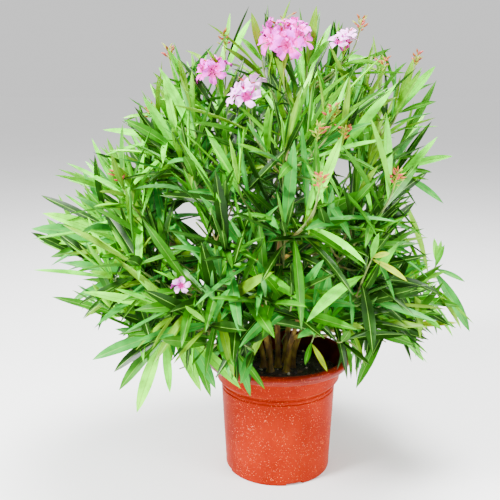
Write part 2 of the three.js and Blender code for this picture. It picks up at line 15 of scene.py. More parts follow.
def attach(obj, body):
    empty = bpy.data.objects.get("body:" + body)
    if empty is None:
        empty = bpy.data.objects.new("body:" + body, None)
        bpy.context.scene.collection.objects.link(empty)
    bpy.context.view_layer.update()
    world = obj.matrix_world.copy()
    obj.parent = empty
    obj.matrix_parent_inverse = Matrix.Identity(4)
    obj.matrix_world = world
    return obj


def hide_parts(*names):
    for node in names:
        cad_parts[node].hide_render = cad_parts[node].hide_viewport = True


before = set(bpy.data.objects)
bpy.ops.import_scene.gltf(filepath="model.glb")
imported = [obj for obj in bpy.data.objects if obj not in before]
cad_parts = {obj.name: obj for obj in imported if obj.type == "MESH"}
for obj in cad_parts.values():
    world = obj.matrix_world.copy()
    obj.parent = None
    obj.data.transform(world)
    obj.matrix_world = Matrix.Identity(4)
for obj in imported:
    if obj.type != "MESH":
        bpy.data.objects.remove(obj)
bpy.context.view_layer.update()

UP = Vector((0, 0, 1))
GAP = 0.0003
SEED = 417

# Camera: where the photo was taken from, how far it looks down, and its lens on a 36 mm sensor
CAMERA_PLACE = Vector((-0.051, -1.26, 0.68))
CAMERA_PITCH = 12.4
CAMERA_LENS = 52.8

# Studio: the floor, the world's light, lights by place, size and power, and a faint one for the far
# floor by its strength and its spread in degrees
FLOOR_HALF_SIZE = 60
FLOOR_TONES = ((0.89, 0.89, 0.89), (0.91, 0.91, 0.91))
WORLD_STRENGTH = 0.92
LIGHTS = (
    ("key", (-1.9, -1.3, 2.0), 0.6, 280),
    ("fill", (1.9, -1.2, 1.5), 1.2, 80),
    ("top", (0.25, 0.1, 2.6), 1.0, 180),
)
LIGHT_AIM = Vector((0, 0, 0.4))
FAR_LIGHT = 0.36
FAR_LIGHT_SPREAD = 60

# Pot, as in the frame
POT_HEIGHT = 0.215
BASE_RADIUS = 0.095
BODY_RADIUS = 0.1025
BODY_HEIGHT = 0.153
GROOVE_DEPTH = 0.002
LOWER_GROOVE_WIDTH = 0.004
RIDGE_WIDTH = 0.003
UPPER_GROOVE_WIDTH = 0.005
SHOULDER_RISE = 0.008
COLLAR_RADIUS = 0.112
COLLAR_DRAFT = 0.001
LIP_RADIUS = 0.13
LIP_ROLL = 0.0085
MOUTH_RADIUS = 0.119
WALL = 0.0026
FLOOR = 0.008
NOTCHES = 4
NOTCH_TURN = -73
NOTCH_WIDTH = 0.03
NOTCH_HEIGHT = 0.005
NOTCH_DEPTH = 0.012
NOTCH_EDGE_TURN = 1.6
EDGE_ROUNDING = 0.0025
BODY_ROWS = 12
GROOVE_ROWS = 6
LIP_ROWS = 16
INNER_ROWS = 6
POT_SEGMENTS = 240
POT_SWELL = 0.0003
SWELL_FINENESS = (3, 40)
SOFTENING = 0.0008
# Where the lip's painted shade starts
LIP_COLOR_FROM = COLLAR_RADIUS + 0.001
NOTCHED_FROM = BODY_RADIUS * 0.9
NOTCHED_BELOW = NOTCH_HEIGHT - 0.0001

# Water drops on the pot's wall: their number, size and profile, and the rows of the wall they cling to
DROPS = 6500
LEAST_DROP = 0.00035
DROP_SPREAD = 0.0005
DROP_SIDES = 5
DROP_PROFILE = ((1, -0.2), (0.92, 0.25), (0.55, 0.55))
DROP_TOP = 0.66
FIRST_WET_ROW = 4
WET_ROWS_PAST_LIP = 10

# Soil: its level and fall, its lumps by height and fineness, and the crumbs on it by kind
SOIL_LEVEL = 0.185
SOIL_FLAT_RADIUS = 0.048
SOIL_FALL = 0.004
SOIL_EDGE_RADIUS = COLLAR_RADIUS - WALL - COLLAR_DRAFT - GAP
SOIL_EDGE_HEIGHT = 0.177
SOIL_SHOULDER_HEIGHT = 0.1625
SOIL_RINGS = 44
SOIL_SIDES = 144
SOIL_SINK = 0.0008
SOIL_LUMPS = ((0.0022, 60), (0.0016, 170), (0.0008, 420))
CRUMBS = 900
LEAST_CRUMB = 0.0009
CRUMB_SPREAD = 0.0026
CRUMB_SIDES = 5
CRUMB_MARGIN = 0.004
CRUMB_LIFT = 0.3
CRUMB_WIDTH_RANGE = (0.6, 1.1)
CRUMB_WEIGHTS = (78, 16, 6)
CRUMB_LENGTHS = (1.2, 2.6, 1.2)

# Crown, as in the frame: the hub, the stems under its sides, and the tiers of masses
HUB = Vector((0, 0, 0.24))
SIDES = (("right", 0), ("back_right", 60), ("back_left", 120), ("left", 180), ("front_left", 236),
         ("front_right", 304))
TOP_SIDES = (("right", 0, 0.86), ("back", 90, 0.78), ("left", 180, 0.7), ("front", 270, 0.62))
FRONT_TURN = 270
FRONT_LEAVE = 0.5
STEM_RING_RADIUS = 0.026
FORK_RADIUS = 0.062
FORK_HEIGHT = 0.3
MIDDLE_STEM_TOP = 0.405
STEM_FOOT_RADIUS = 0.0075
STEM_RADIUS = 0.0052
STEM_TIP_RADIUS = 0.004
FLARE_SHARE = 0.12
STEM_BEND_SHARE = 0.35
STEM_SPACING = 0.004
STEM_SIDES = 16
BOUGH_RADIUS = 0.0036
BOUGH_TIP_RADIUS = 0.0026
BOUGH_SPACING = 0.005
BOUGH_SIDES = 12
BOUGH_GREEN_FROM = 0.45

# Bark: how far ridges, knots and leaf scars stand out, as shares of the radius
RIDGE_HEIGHT = 0.08
RIDGE_FINENESS = (420, 420, 90)
KNOT_HEIGHT = 0.08
KNOT_FINENESS = 130
SCAR_HEIGHT = 0.09
SCAR_EVERY = 9

# Tiers of masses. In degrees: how far each leans out, how much less in front, and how far its leaves
# open out. As shares: where it leaves its stem, where it starts, how leaves droop, how shoots rise
# and how slim leaves are. The masses at the top leave their stem at places of their own.
TIER_TRAITS = ("tilt", "lift", "leave", "start", "start_tilt", "droop", "rise", "open", "slim",
               "shoots")
TIER_ROWS = {
    "crown": (6, 0, 1, 0.44, 4, 0.05, 0.4, 50, 0.74, 7),
    "top": (26, 0, 1, 0.42, 24, 0.15, 0.7, 54, 0.78, 8),
    "upper": (47, 4, 1, 0.36, 45, 0.3, 1, 72, 0.92, 8),
    "side": (67, 10, 0.84, 0.37, 66, 0.5, 0.6, 84, 1.06, 7),
    "low": (98, 18, 0.52, 0.44, 87, 0.5, 0, 78, 1.15, 3),
}
TIERS = {tier: dict(zip(TIER_TRAITS, row)) for tier, row in TIER_ROWS.items()}
REACH = {
    "right": ((0, 0.588), (12, 0.56), (20, 0.535), (30, 0.525), (37, 0.43), (42, 0.37), (47, 0.325),
              (60, 0.315), (88, 0.345), (100, 0.275), (112, 0.195), (125, 0.165)),
    "back": ((0, 0.588), (20, 0.525), (35, 0.465), (50, 0.405), (70, 0.345), (90, 0.315), (105, 0.27),
             (125, 0.19)),
    "left": ((0, 0.588), (21, 0.538), (35, 0.475), (48, 0.49), (66, 0.492), (80, 0.37), (90, 0.315),
             (98, 0.322), (119, 0.285)),
    "front": ((0, 0.588), (20, 0.52), (35, 0.455), (50, 0.395), (70, 0.34), (90, 0.29), (105, 0.22),
              (125, 0.15)),
}
WINDOW_LEFT = -0.042
WINDOW_RIGHT = 0.084
WINDOW_HEIGHT = 0.252
WINDOW_RISE = 0.3
POT_MARGIN = 0.003
OUTLINE_MARGIN = 0.004
HUB_RADIUS = 0.001

# Underside of the crown: how low leaves hang by place across, and how that rises towards the front
UNDERSIDE = (
    (-0.44, 0.3), (-0.33, 0.235), (-0.3, 0.235), (-0.27, 0.185), (-0.2, 0.18), (-0.15, 0.15),
    (0.14, 0.15), (0.168, 0.22), (0.21, 0.24), (0.24, 0.175), (0.268, 0.18), (0.28, 0.235),
    (0.34, 0.245),
)
FRONT_LIFT = 0.42
FRONT_SPREAD = 1

# Gaps through which the photo shows sky: a point on each line of sight, and the gap's radius there
SKY_GAPS = (
    (Vector((-0.166, 0, 0.473)), 0.016), (Vector((-0.146, 0, 0.443)), 0.017),
    (Vector((0.104, 0, 0.544)), 0.016), (Vector((0.012, 0, 0.274)), 0.011),
    (Vector((0.103, 0, 0.246)), 0.013), (Vector((-0.123, 0, 0.236)), 0.009),
    (Vector((-0.308, 0, 0.265)), 0.014), (Vector((-0.276, 0, 0.217)), 0.012),
    (Vector((0.194, 0, 0.227)), 0.016),
)

# Shoots of each mass besides its leader: how deep they end in the crown, in leaf lengths
SHOOT_DEPTHS = (0.78, 1.15, 0.9, 1.65, 0.84, 1, 1.35, 0.8)
SHOOT_SPREAD = 36
SHOOT_TRIES = 14
SHOOT_MARGIN = 0.006
SHOOT_END_SPREAD = 0.24
FORK_SLOPE = 1.2
LAST_FORK_SHARE = 0.85
SHOOT_BEND_SHARE = 0.4
FOOT_CLEARANCE = 0.01
LEADER_RADIUS = 0.0026
LEADER_DEPTH = 0.8
LEAST_LEADER = 0.046
SHOOT_RADIUS = 0.0019
SHOOT_TIP_RADIUS = 0.0012
SHOOT_SPACING = 0.012
SHOOT_SIDES = 6
SHOOT_GREEN_FROM = 0.3

# Shoot tips that stand out in the photo: place, and how far the shoot turns up at its end
SHOOT_TIPS = (
    ((-0.216, -0.1, 0.378), -0.2), ((0.042, -0.24, 0.521), 1.6), ((0.123, -0.16, 0.413), 1),
    ((-0.068, -0.2, 0.544), 1), ((-0.136, -0.12, 0.618), 0.8), ((-0.245, -0.05, 0.245), -0.6),
    ((-0.172, 0, 0.612), 0.6), ((-0.226, 0.02, 0.545), 0.5), ((0.212, 0.02, 0.59), 0.8),
    ((-0.265, -0.01, 0.49), 0.4), ((0.09, -0.19, 0.3), 0.2), ((-0.069, -0.19, 0.38), -0.9),
    ((-0.09, -0.09, 0.27), -1.3), ((-0.01, -0.1, 0.298), -0.7), ((0.092, -0.14, 0.356), -0.8),
    ((0.145, -0.03, 0.262), -2.5), ((0.262, -0.03, 0.352), -0.9), ((0.15, -0.07, 0.27), -2),
    ((-0.224, -0.12, 0.27), -1),
)
TIP_SHOOT_SIZE = 1.18
# How much more painted shade the leaves of these shoots take in their colour kinds
TIP_SHOOT_SHADE = 1.15

# Hands: shoots whose last leaves the photo shows one by one. Each has the shoot's tip, how far the
# shoot turns up there, and for each leaf its colour kind and where it ends, across and up.
HANDS = (
    ((-0.267, -0.02, 0.42), 0, (
        ("lime", -0.402, 0.474), ("cool", -0.423, 0.446), ("lime", -0.413, 0.427),
        ("mid", -0.393, 0.396))),
    ((-0.25, -0.05, 0.365), -0.3, (
        ("fresh", -0.358, 0.396), ("cool", -0.35, 0.33), ("fresh", -0.339, 0.318),
        ("lime", -0.297, 0.291), ("lime", -0.186, 0.311))),
    ((-0.192, -0.13, 0.287), -1.6, (
        ("lime", -0.234, 0.164), ("fresh", -0.181, 0.199), ("cool", -0.304, 0.252),
        ("deep", -0.264, 0.332), ("deep", -0.27, 0.231), ("mid", -0.262, 0.2),
        ("lime", -0.132, 0.199))),
    ((-0.152, -0.16, 0.299), -1.2, (
        ("lime", -0.067, 0.217), ("cool", -0.106, 0.217), ("mid", -0.114, 0.203))),
    ((0.274, -0.02, 0.382), 1.6, (
        ("lime", 0.261, 0.433), ("lime", 0.274, 0.429), ("fresh", 0.28, 0.421),
        ("cool", 0.319, 0.354), ("cool", 0.331, 0.264))),
    ((0.212, -0.04, 0.323), -0.4, (
        ("mid", 0.309, 0.315), ("deep", 0.289, 0.283), ("fresh", 0.279, 0.272))),
    ((0.196, -0.04, 0.283), -0.8, (
        ("fresh", 0.249, 0.217), ("deep", 0.16, 0.225), ("mid", 0.136, 0.167))),
    ((0.205, -0.01, 0.545), 0.5, (
        ("fresh", 0.288, 0.569), ("mid", 0.255, 0.542), ("cool", 0.276, 0.488))),
    ((-0.074, -0.13, 0.262), -1.2, (
        ("mid", -0.028, 0.204), ("cool", -0.051, 0.192), ("deep", -0.072, 0.214))),
    ((0.051, -0.1, 0.266), -1.2, (("yellow", 0.076, 0.223), ("mid", 0.04, 0.235))),
    ((0.127, -0.22, 0.44), 0.8, (
        ("yellow", 0.149, 0.45), ("yellow", 0.175, 0.408), ("fresh", 0.132, 0.48))),
    ((0.042, -0.03, 0.716), 1, (("olive", 0.054, 0.808), ("fresh", 0.076, 0.756))),
    ((-0.031, -0.02, 0.726), 0.8, (("olive", -0.049, 0.799), ("fresh", -0.067, 0.76))),
    ((0.092, 0.04, 0.707), 1, (("deep", 0.089, 0.792), ("mid", 0.118, 0.755))),
    ((0.195, -0.02, 0.642), 0.8, (
        ("fresh", 0.249, 0.716), ("mid", 0.254, 0.659), ("olive", 0.213, 0.729))),
    ((-0.153, -0.03, 0.678), 0.8, (
        ("fresh", -0.183, 0.742), ("mid", -0.209, 0.688), ("olive", -0.166, 0.728))),
    ((-0.169, -0.08, 0.584), 0.5, (("fresh", -0.218, 0.669), ("mid", -0.249, 0.633))),
)
HAND_STEP = 0.003
HAND_LAST_SHARE = 0.5
HAND_LEAN = 0.02
HAND_SAG = 0.3
HAND_WIDTH_SHARE = 0.165
HAND_WIDTH_SPREAD = 0.2
HAND_LEAST_LENGTH = 0.06
HAND_ROLL_SPREAD = 0.4
HAND_FACING = (-1, 0.6)
HAND_TWIST_SPREAD = 0.3
HAND_WHORLS_BACK = 0.024
HAND_AGE = 0.4

# Leaves: life size, in whorls of three that open out with age
LEAF_LENGTH = 0.125
LEAF_WIDTH_SHARE = 0.132
LEAF_STATIONS = 8
LEAF_SKEW = 1.1
LEAF_FULLNESS = 0.78
MIDRIB_HALF_WIDTH = 0.0004
LEAST_HALF_WIDTH = 1.4 * MIDRIB_HALF_WIDTH
LEAF_HALF_THICKNESS = 0.0003
KEEL_DEPTH = 0.0007
WHORL_LEAVES = 3
FIRST_WHORL_BACK = 0.003
WHORL_SPACING = 0.012
WHORL_SPACING_GROWTH = 0.006
MOST_WHORLS = 6
LEAFY_LENGTH = 0.17
TIP_ANGLE = 16
OPENING_POWER = 0.75
TIP_SIZE = 0.6
GROWTH_WITH_AGE = 2.2
DROOP_WITH_AGE = 0.8
FACING_RISE = 0.55
TURN_SPREAD = 24
ANGLE_SPREAD = 22
TWIST_SPREAD = 50
LENGTH_SPREAD = 0.34
WIDTH_SPREAD = 0.4
LEAF_TRIMS = (1, 0.9, 0.8)
TESTED_STATIONS = (2, 4, 6, 8)
SAG = 0.22
OLD_LEAF_SAG = 0.95
YOUNG_LEAF_RISE = 0.12
LEAST_FOLD = 10
FOLD_SPREAD = 30
LIMB_MARGIN = 0.001
GUARD_MARGIN = 0.01

# Kinds of leaf colour, linear: upper side, and the paler underside. Then the roughness and gloss of
# both sides, and how often each kind is dealt to young leaves, to old or shaded ones (painted shade)
# and high up.
LEAF_KINDS = {
    "lime": ((0.19, 0.86, 0.0003), (0.17, 0.56, 0.001)),
    "fresh": ((0.1, 0.64, 0.0003), (0.12, 0.47, 0.004)),
    "olive": ((0.13, 0.32, 0.0005), (0.13, 0.29, 0.008)),
    "mid": ((0.027, 0.19, 0.0005), (0.042, 0.2, 0.008)),
    "deep": ((0.007, 0.042, 0.0005), (0.018, 0.076, 0.006)),
    # cool: a blue-green, partly the leaves' own tint and partly painted sheen from the sky
    "cool": ((0.034, 0.31, 0.03), (0.07, 0.33, 0.06)),
    "yellow": ((0.36, 0.5, 0.0001), (0.3, 0.42, 0.0002)),
}
KIND_NAMES = tuple(LEAF_KINDS)
LEAF_FINISH = (0.34, 0.14)
UNDERSIDE_FINISH = (0.6, 0.08)
YOUNG_WEIGHTS = (22, 44, 10, 16, 2, 6, 0)
OLD_WEIGHTS = (0, 6, 7, 28, 42, 17, 0)
HIGH_WEIGHTS = (16, 28, 28, 18, 8, 2, 0)
HIGH_FROM = 0.5
HIGH_SPAN = 0.25
STRAY_COLOR_SHARE = 0.3

# Painted shade in the leaves' colour kinds: how much age (old leaves are darker), depth in the crown
# and a low place in the middle (painted shade) each add, how much the flanks take off (painted light
# where the key light falls), and where the photo shows yellow leaves
AGE_SHADE = 0.5
DEPTH_SHADE = 0.6
LOW_SHADE = 1.4
SHADE_DEPTH = 0.17
SHADY_WIDTH = 0.19
SHADY_HEIGHT = 0.52
SHADY_FADE = 0.1
FLANK_FROM = 0.13
FLANK_SPAN = 0.08
FLANK_LIGHT = 0.45
YELLOW_PLACES = (Vector((0.21, 0, 0.394)), Vector((-0.16, -0.1, 0.262)))
YELLOW_REACH = 0.024
YELLOW_SHARE = 0.3
STRAY_YELLOW_SHARE = 0.002
LEAST_YELLOW_AGE = 0.15

# Heads of blossom: place, radius, numbers of flowers and of buds, and the share of pale flowers
FLOWER_HEADS = (
    (Vector((0.004, -0.04, 0.742)), 0.05, 15, 12, 0.25),
    (Vector((-0.108, -0.06, 0.703)), 0.024, 5, 4, 0.1),
    (Vector((-0.056, -0.15, 0.668)), 0.027, 5, 5, 0.9),
    (Vector((0.106, -0.01, 0.75)), 0.024, 3, 4, 0.9),
    (Vector((-0.15, -0.225, 0.395)), 0.016, 2, 2, 0.6),
)
BLOSSOM_MARGIN = 0.004
HEAD_FOOT_SHARE = 0.9
HEAD_WHORLS_BACK = 0.02
HEAD_AGE = 0.35
HEAD_SPREAD = 1.3
HEAD_SINK = 0.006
HEAD_TURN_SPREAD = 0.6
HEAD_DEPTH = 0.45
HEAD_FACING = Vector((0, -0.55, 0.5))
FLOWER_RADIUS = 0.0215
FLOWER_SIZE_SPREAD = 0.2
LARGEST_FLOWER_SHARE = 0.8
FLOWER_TILT = 0.9
FLOWER_LIFT = 0.25
FLOWER_STALK_RADIUS = 0.0008

# The turn from one flower or bud to the next round a head, in radians
SPIRAL_TURN = 2.4

# Petals: their steps, thickness and materials, and how much they differ. In shares of a flower's
# radius: where they start, and how wide, askew, wavy, blunt, frilled, cupped and fallen they are.
PETALS = 5
PETAL_STEPS = 6
PETAL_ACROSS = 4
PETAL_THICKNESS = 0.0004
PETAL_SLOTS = (0, 1, 1, 2, 2, 2)
PALE_PETAL_SLOTS = (0, 2, 3, 3, 3, 3)
PETAL_TURN_SPREAD = 0.12
PETAL_SIZE_SPREAD = 0.15
PETAL_START = 0.12
PETAL_FOOT_HALF_WIDTH = 0.05
PETAL_HALF_WIDTH = 0.29
PETAL_WIDENING = (0.05, 0.73)
PETAL_WIDENING_POWER = 1.35
PETAL_SKEW = 0.2
PETAL_RIPPLE = 0.09
PETAL_BLUNTNESS = 0.12
PETAL_FRILL = 0.07
PETAL_FRILL_POWER = 4
PETAL_FRILL_WAVES = 5
PETAL_RIPPLE_WAVES = 4
PETAL_CUP = 0.1
PETAL_FALL = 0.25
PETAL_FALL_FROM = 0.6
PETAL_FALL_POWER = 1.4
PETAL_ARCH = 0.6

# The rest of a flower, in shares of its radius: the throat's fringe, the tube and the calyx
FRINGE_START = 0.16
FRINGE_LENGTH = 0.34
FRINGE_RADIUS = 0.07
FRINGE_LEAN = 0.5
TUBE_DEPTH = 0.85
TUBE_TOP = 0.06
TUBE_STEP = 0.3
TUBE_FOOT_RADIUS = 0.09
TUBE_MOUTH_RADIUS = 0.22
TUBE_SIDES = 8
SEPAL_START = 0.9
SEPAL_LENGTH = 0.3
SEPAL_RADIUS = 0.05
SEPAL_LEAN = 0.35

# Heads that are still in bud: places, whorls, numbers and sizes, as shares where not in metres
BUD_HEADS = (
    (0.064, -0.2, 0.628), (0.043, -0.21, 0.604), (0.081, -0.2, 0.6), (-0.092, -0.02, 0.74),
    (0.222, 0.0, 0.71), (0.126, -0.01, 0.764), (0.164, -0.03, 0.7), (-0.205, -0.05, 0.625),
    (-0.185, 0.02, 0.72), (0.157, -0.2, 0.537), (0.042, -0.27, 0.54), (-0.25, -0.12, 0.53),
    (0.02, 0.16, 0.72), (-0.16, 0.2, 0.62), (0.17, 0.19, 0.6), (0.0, 0.3, 0.45), (-0.27, 0.16, 0.47),
)
BUD_WHORLS_BACK = 0.008
BUD_AGE = 0.12
HEAD_BUDS = 17
BUD_HEAD_SPREAD = 0.02
BUD_HEAD_HEIGHT = 1.3
BUD_LENGTH = 0.0105
BUD_LENGTH_RANGE = (0.55, 1.25)
BUD_LEAN_RANGE = (0.3, 1)
BUD_BRANCH_RANGE = (0.3, 0.8)
FIRST_BUD_SHARE = 0.1
BUD_RADIUS = 0.0018
YOUNG_BUD_SHARE = 0.35
YOUNG_BUD_SIZE = 0.7
CORAL_BUD_SHARE = 0.5
BUD_HEAD_RISE = 0.4
BUD_HEAD_TAPER = 0.6
BUD_STALK_RADIUS = 0.001
BUD_BRANCH_RADIUS = 0.0006
SPINDLE_PROFILE = ((0, 0.45), (0.18, 0.85), (0.42, 1), (0.7, 0.66), (0.92, 0.24))
SMALL_SIDES = 4
STALK_SIDES = 5
STALK_STEPS = 4
STALK_TAPER = 0.8

# Materials, linear: the name and two or three tones of each, with its roughness and gloss
POT_COLORS = {
    "pot": ("terracotta_plastic", 0.42, 0.03,
            (0.23, 0.0085, 0.0001), (0.28, 0.012, 0.0002), (0.33, 0.017, 0.0003)),
    # The lip's darker tones are painted shade from the crown above; its gloss is its own
    "lip": ("glossy_lip_painted_shade", 0.3, 0.16,
            (0.14, 0.0045, 0.0001), (0.18, 0.007, 0.0002), (0.22, 0.01, 0.0003)),
    # The inner wall's darker tones are painted shade inside the pot
    "shaded_inside": ("inner_wall_painted_shade", 0.42, 0.03,
                (0.04, 0.006, 0.001), (0.09, 0.01, 0.001), (0.16, 0.014, 0.001)),
}
SOIL_COLORS = ((0.006, 0.004, 0.003), (0.018, 0.012, 0.008), (0.05, 0.033, 0.02))
BARK_COLORS = {
    "bark": ("bark", (0.03, 0.013, 0.003), (0.16, 0.085, 0.008), (0.42, 0.28, 0.03)),
    "green_bark": ("green_bark", (0.07, 0.06, 0.012), (0.16, 0.16, 0.03), (0.3, 0.29, 0.07)),
    "chips": ("wood_chips", (0.03, 0.018, 0.01), (0.09, 0.05, 0.025), (0.2, 0.13, 0.07)),
}
DARK_TONE = 0.55
LIGHT_TONE = 1.4
PLANT_COLORS = {
    "grit": ("pale_grains", (0.5, 0.46, 0.38), 0.8),
    # Water drops are lighter than the pot: a painted glint
    "water": ("water_drops", (0.7, 0.14, 0.04), 0.08, 0.7),
    "shoot": ("green_shoot", (0.2, 0.27, 0.07), 0.5),
    "midrib": ("pale_midrib", (0.14, 0.36, 0.03), 0.45),
    "throat": ("deep_pink_throat", (0.6, 0.006, 0.14), 0.5),
    "rose": ("rose_petal", (0.8, 0.015, 0.44), 0.5),
    "pink": ("pink_petal", (0.92, 0.042, 0.76), 0.5),
    "pale_pink": ("pale_petal", (0.94, 0.4, 0.95), 0.5),
    "coral": ("coral_bud", (0.3, 0.075, 0.008), 0.45),
    "pink_bud": ("pink_bud", (0.42, 0.055, 0.045), 0.45),
    "lime_stalk": ("lime_stalk", (0.3, 0.36, 0.02), 0.5),
}


# Small helpers

def heading(turn, tilt):
    """The direction that leans by tilt from upright, on the side given by turn, in degrees."""
    turn, tilt = math.radians(turn), math.radians(tilt)
    return Vector((math.cos(turn) * math.sin(tilt), math.sin(turn) * math.sin(tilt), math.cos(tilt)))


def cross_pair(along):
    """Two directions square to a given one."""
    other = Vector((1, 0, 0)) if abs(along.z) > 0.9 else UP
    first = other.cross(along).normalized()
    return first, along.cross(first)


def off_zero(rng, spread):
    """A random number round zero."""
    return (rng.random() - 0.5) * spread


def near_one(rng, spread):
    """A random factor near one."""
    return 1 + off_zero(rng, spread)


def between(rng, low, high):
    """A random number from low to high."""
    return low + (high - low) * rng.random()


def clamped(value):
    """A value kept from 0 to 1."""
    return max(0, min(1, value))


def squared(vector, along):
    """A vector turned square to a direction, of length one."""
    return (vector - along * vector.dot(along)).normalized()


def around(pair, turn):
    """The direction at a turn, in radians, in the plane of two directions."""
    return pair[0] * math.cos(turn) + pair[1] * math.sin(turn)


def ring(centre, pair, radius, sides):
    """Points evenly round a centre."""
    return [centre + around(pair, 2 * math.pi * k / sides) * radius for k in range(sides)]


def ring_faces(rings, sides, first=0):
    """Four-sided faces between rings of points that follow each other."""
    faces = []
    for here in range(first, first + (rings - 1) * sides, sides):
        for k in range(sides):
            after = (k + 1) % sides
            faces.append((here + k, here + after, here + sides + after, here + sides + k))
    return faces


def capped_faces(rings, sides):
    """Faces between rings of points, with one more face over each end."""
    last = (rings - 1) * sides
    ends = [tuple(reversed(range(sides))), tuple(range(last, last + sides))]
    return ring_faces(rings, sides) + ends


def placed(name, data):
    """A new object in the scene."""
    thing = bpy.data.objects.new(name, data)
    bpy.context.scene.collection.objects.link(thing)
    return thing


def fill_in(node, values):
    for name, value in values.items():
        node.inputs[name].default_value = value


def blended(rows, angle):
    """The value of a table at an angle."""
    if angle <= rows[0][0]:
        return rows[0][1]
    for (low, first), (high, last) in zip(rows, rows[1:]):
        if angle <= high:
            return first + (last - first) * (angle - low) / (high - low)
    return rows[-1][1]


def reach_along(direction):
    """How far the crown reaches from its hub in a direction."""
    tilt = math.degrees(math.acos(max(-1, min(1, direction.z))))
    flat = math.hypot(direction.x, direction.y) or 1
    across = (direction.x / flat) ** 2
    beside = REACH["right" if direction.x > 0 else "left"]
    along = REACH["back" if direction.y > 0 else "front"]
    return across * blended(beside, tilt) + (1 - across) * blended(along, tilt)


def in_crown(point):
    """Whether a point lies in the crown's outline, clear of pot, ground, sky gaps and front window."""
    out = point - HUB
    distance = out.length
    if distance > HUB_RADIUS and distance > reach_along(out / distance) + OUTLINE_MARGIN:
        return False
    if point.z < underside(point):
        return False
    if math.hypot(point.x, point.y) < LIP_RADIUS + POT_MARGIN and point.z < POT_HEIGHT + POT_MARGIN:
        return False
    if point.y < 0 and WINDOW_LEFT < point.x < WINDOW_RIGHT:
        if point.z < WINDOW_HEIGHT - WINDOW_RISE * point.y:
            return False
    return not in_sky_gap(point)


def underside(point):
    """How low leaves hang at a place: lowest to the left, and higher towards the front."""
    front = max(0, -point.y)
    return blended(UNDERSIDE, point.x * (1 + FRONT_SPREAD * front)) + FRONT_LIFT * front


def off_sight(point, centre):
    """How far a point lies from the camera's line of sight through a centre."""
    sight = (centre - CAMERA_PLACE).normalized()
    out = point - CAMERA_PLACE
    return (out - sight * out.dot(sight)).length


def before_blossom(point):
    """Whether a point lies between the camera and a head of blossom."""
    far = (point - CAMERA_PLACE).length
    return any(far < (place - CAMERA_PLACE).length and off_sight(point, place) < radius + BLOSSOM_MARGIN
               for place, radius, *_ in FLOWER_HEADS)


def in_sky_gap(point):
    """Whether a point lies on a line of sight that the photo shows open."""
    return any(off_sight(point, centre) < radius for centre, radius in SKY_GAPS)


# Courses of limbs and shoots

class Limb:
    """A limb's course as evenly spaced points, with its radius along it."""

    FINE_STEPS = 40

    def __init__(self, controls, radius_at, spacing=SHOOT_SPACING):
        fine = [bezier(controls, i / self.FINE_STEPS) for i in range(self.FINE_STEPS + 1)]
        lengths = [0]
        for a, b in zip(fine, fine[1:]):
            lengths.append(lengths[-1] + (b - a).length)
        self.length = lengths[-1]
        count = max(3, round(self.length / spacing))
        self.points = [self.place(fine, lengths, self.length * i / count) for i in range(count + 1)]
        self.radius_at = radius_at

    @staticmethod
    def place(fine, lengths, far):
        for i in range(len(fine) - 1):
            if far <= lengths[i + 1]:
                part = (far - lengths[i]) / max(1e-9, lengths[i + 1] - lengths[i])
                return fine[i].lerp(fine[i + 1], part)
        return fine[-1].copy()

    def at(self, share):
        """The point and the direction at a share of the length."""
        place = share * (len(self.points) - 1)
        step = min(len(self.points) - 2, int(place))
        a, b = self.points[step], self.points[step + 1]
        return a.lerp(b, place - step), (b - a).normalized()

    def frames(self):
        """At each point: two directions square to the course, which turn as little as they can."""
        found = []
        first = None
        for i in range(len(self.points)):
            low, high = max(0, i - 1), min(len(self.points) - 1, i + 1)
            along = (self.points[high] - self.points[low]).normalized()
            first = cross_pair(along)[0] if first is None else first
            first = squared(first, along)
            found.append((first, along.cross(first)))
        return found


def bezier(controls, share):
    while len(controls) > 1:
        controls = [a.lerp(b, share) for a, b in zip(controls, controls[1:])]
    return controls[0]


def taper(start, end):
    return lambda share: start + (end - start) * share


def stem_radius(share):
    """A stem's radius, which swells into its foot."""
    swell = max(0, 1 - share / FLARE_SHARE) ** 2
    return taper(STEM_RADIUS, STEM_TIP_RADIUS)(share) + (STEM_FOOT_RADIUS - STEM_RADIUS) * swell


def green_from(start):
    """The material number along a limb: bark at first and green from a share of its length on."""
    return lambda share: 0 if share < start else 1


def make_stem(foot, fork, lean):
    bend = (fork.z - foot.z) * STEM_BEND_SHARE
    return Limb([foot, foot + UP * bend, fork - lean * bend, fork], stem_radius, STEM_SPACING)


def make_stems():
    ground = SOIL_LEVEL + GAP
    stems = []
    for _, turn in SIDES:
        out = heading(turn, 90)
        foot = Vector((out.x * STEM_RING_RADIUS, out.y * STEM_RING_RADIUS, ground))
        fork = Vector((out.x * FORK_RADIUS, out.y * FORK_RADIUS, FORK_HEIGHT))
        stems.append(make_stem(foot, fork, heading(turn, TIERS["upper"]["tilt"] / 2)))
    top = Vector((0, 0, MIDDLE_STEM_TOP))
    stems.append(make_stem(Vector((0, 0, ground)), top, heading(0, TIERS["crown"]["tilt"])))
    return stems


def make_bough(stem, leave, end, aim):
    start, along = stem.at(leave)
    third = (end - start).length / 3
    first = along if leave == 1 else (along + (end - start).normalized()).normalized()
    controls = [start, start + first * third, end - aim * third, end]
    return Limb(controls, taper(BOUGH_RADIUS, BOUGH_TIP_RADIUS), BOUGH_SPACING)


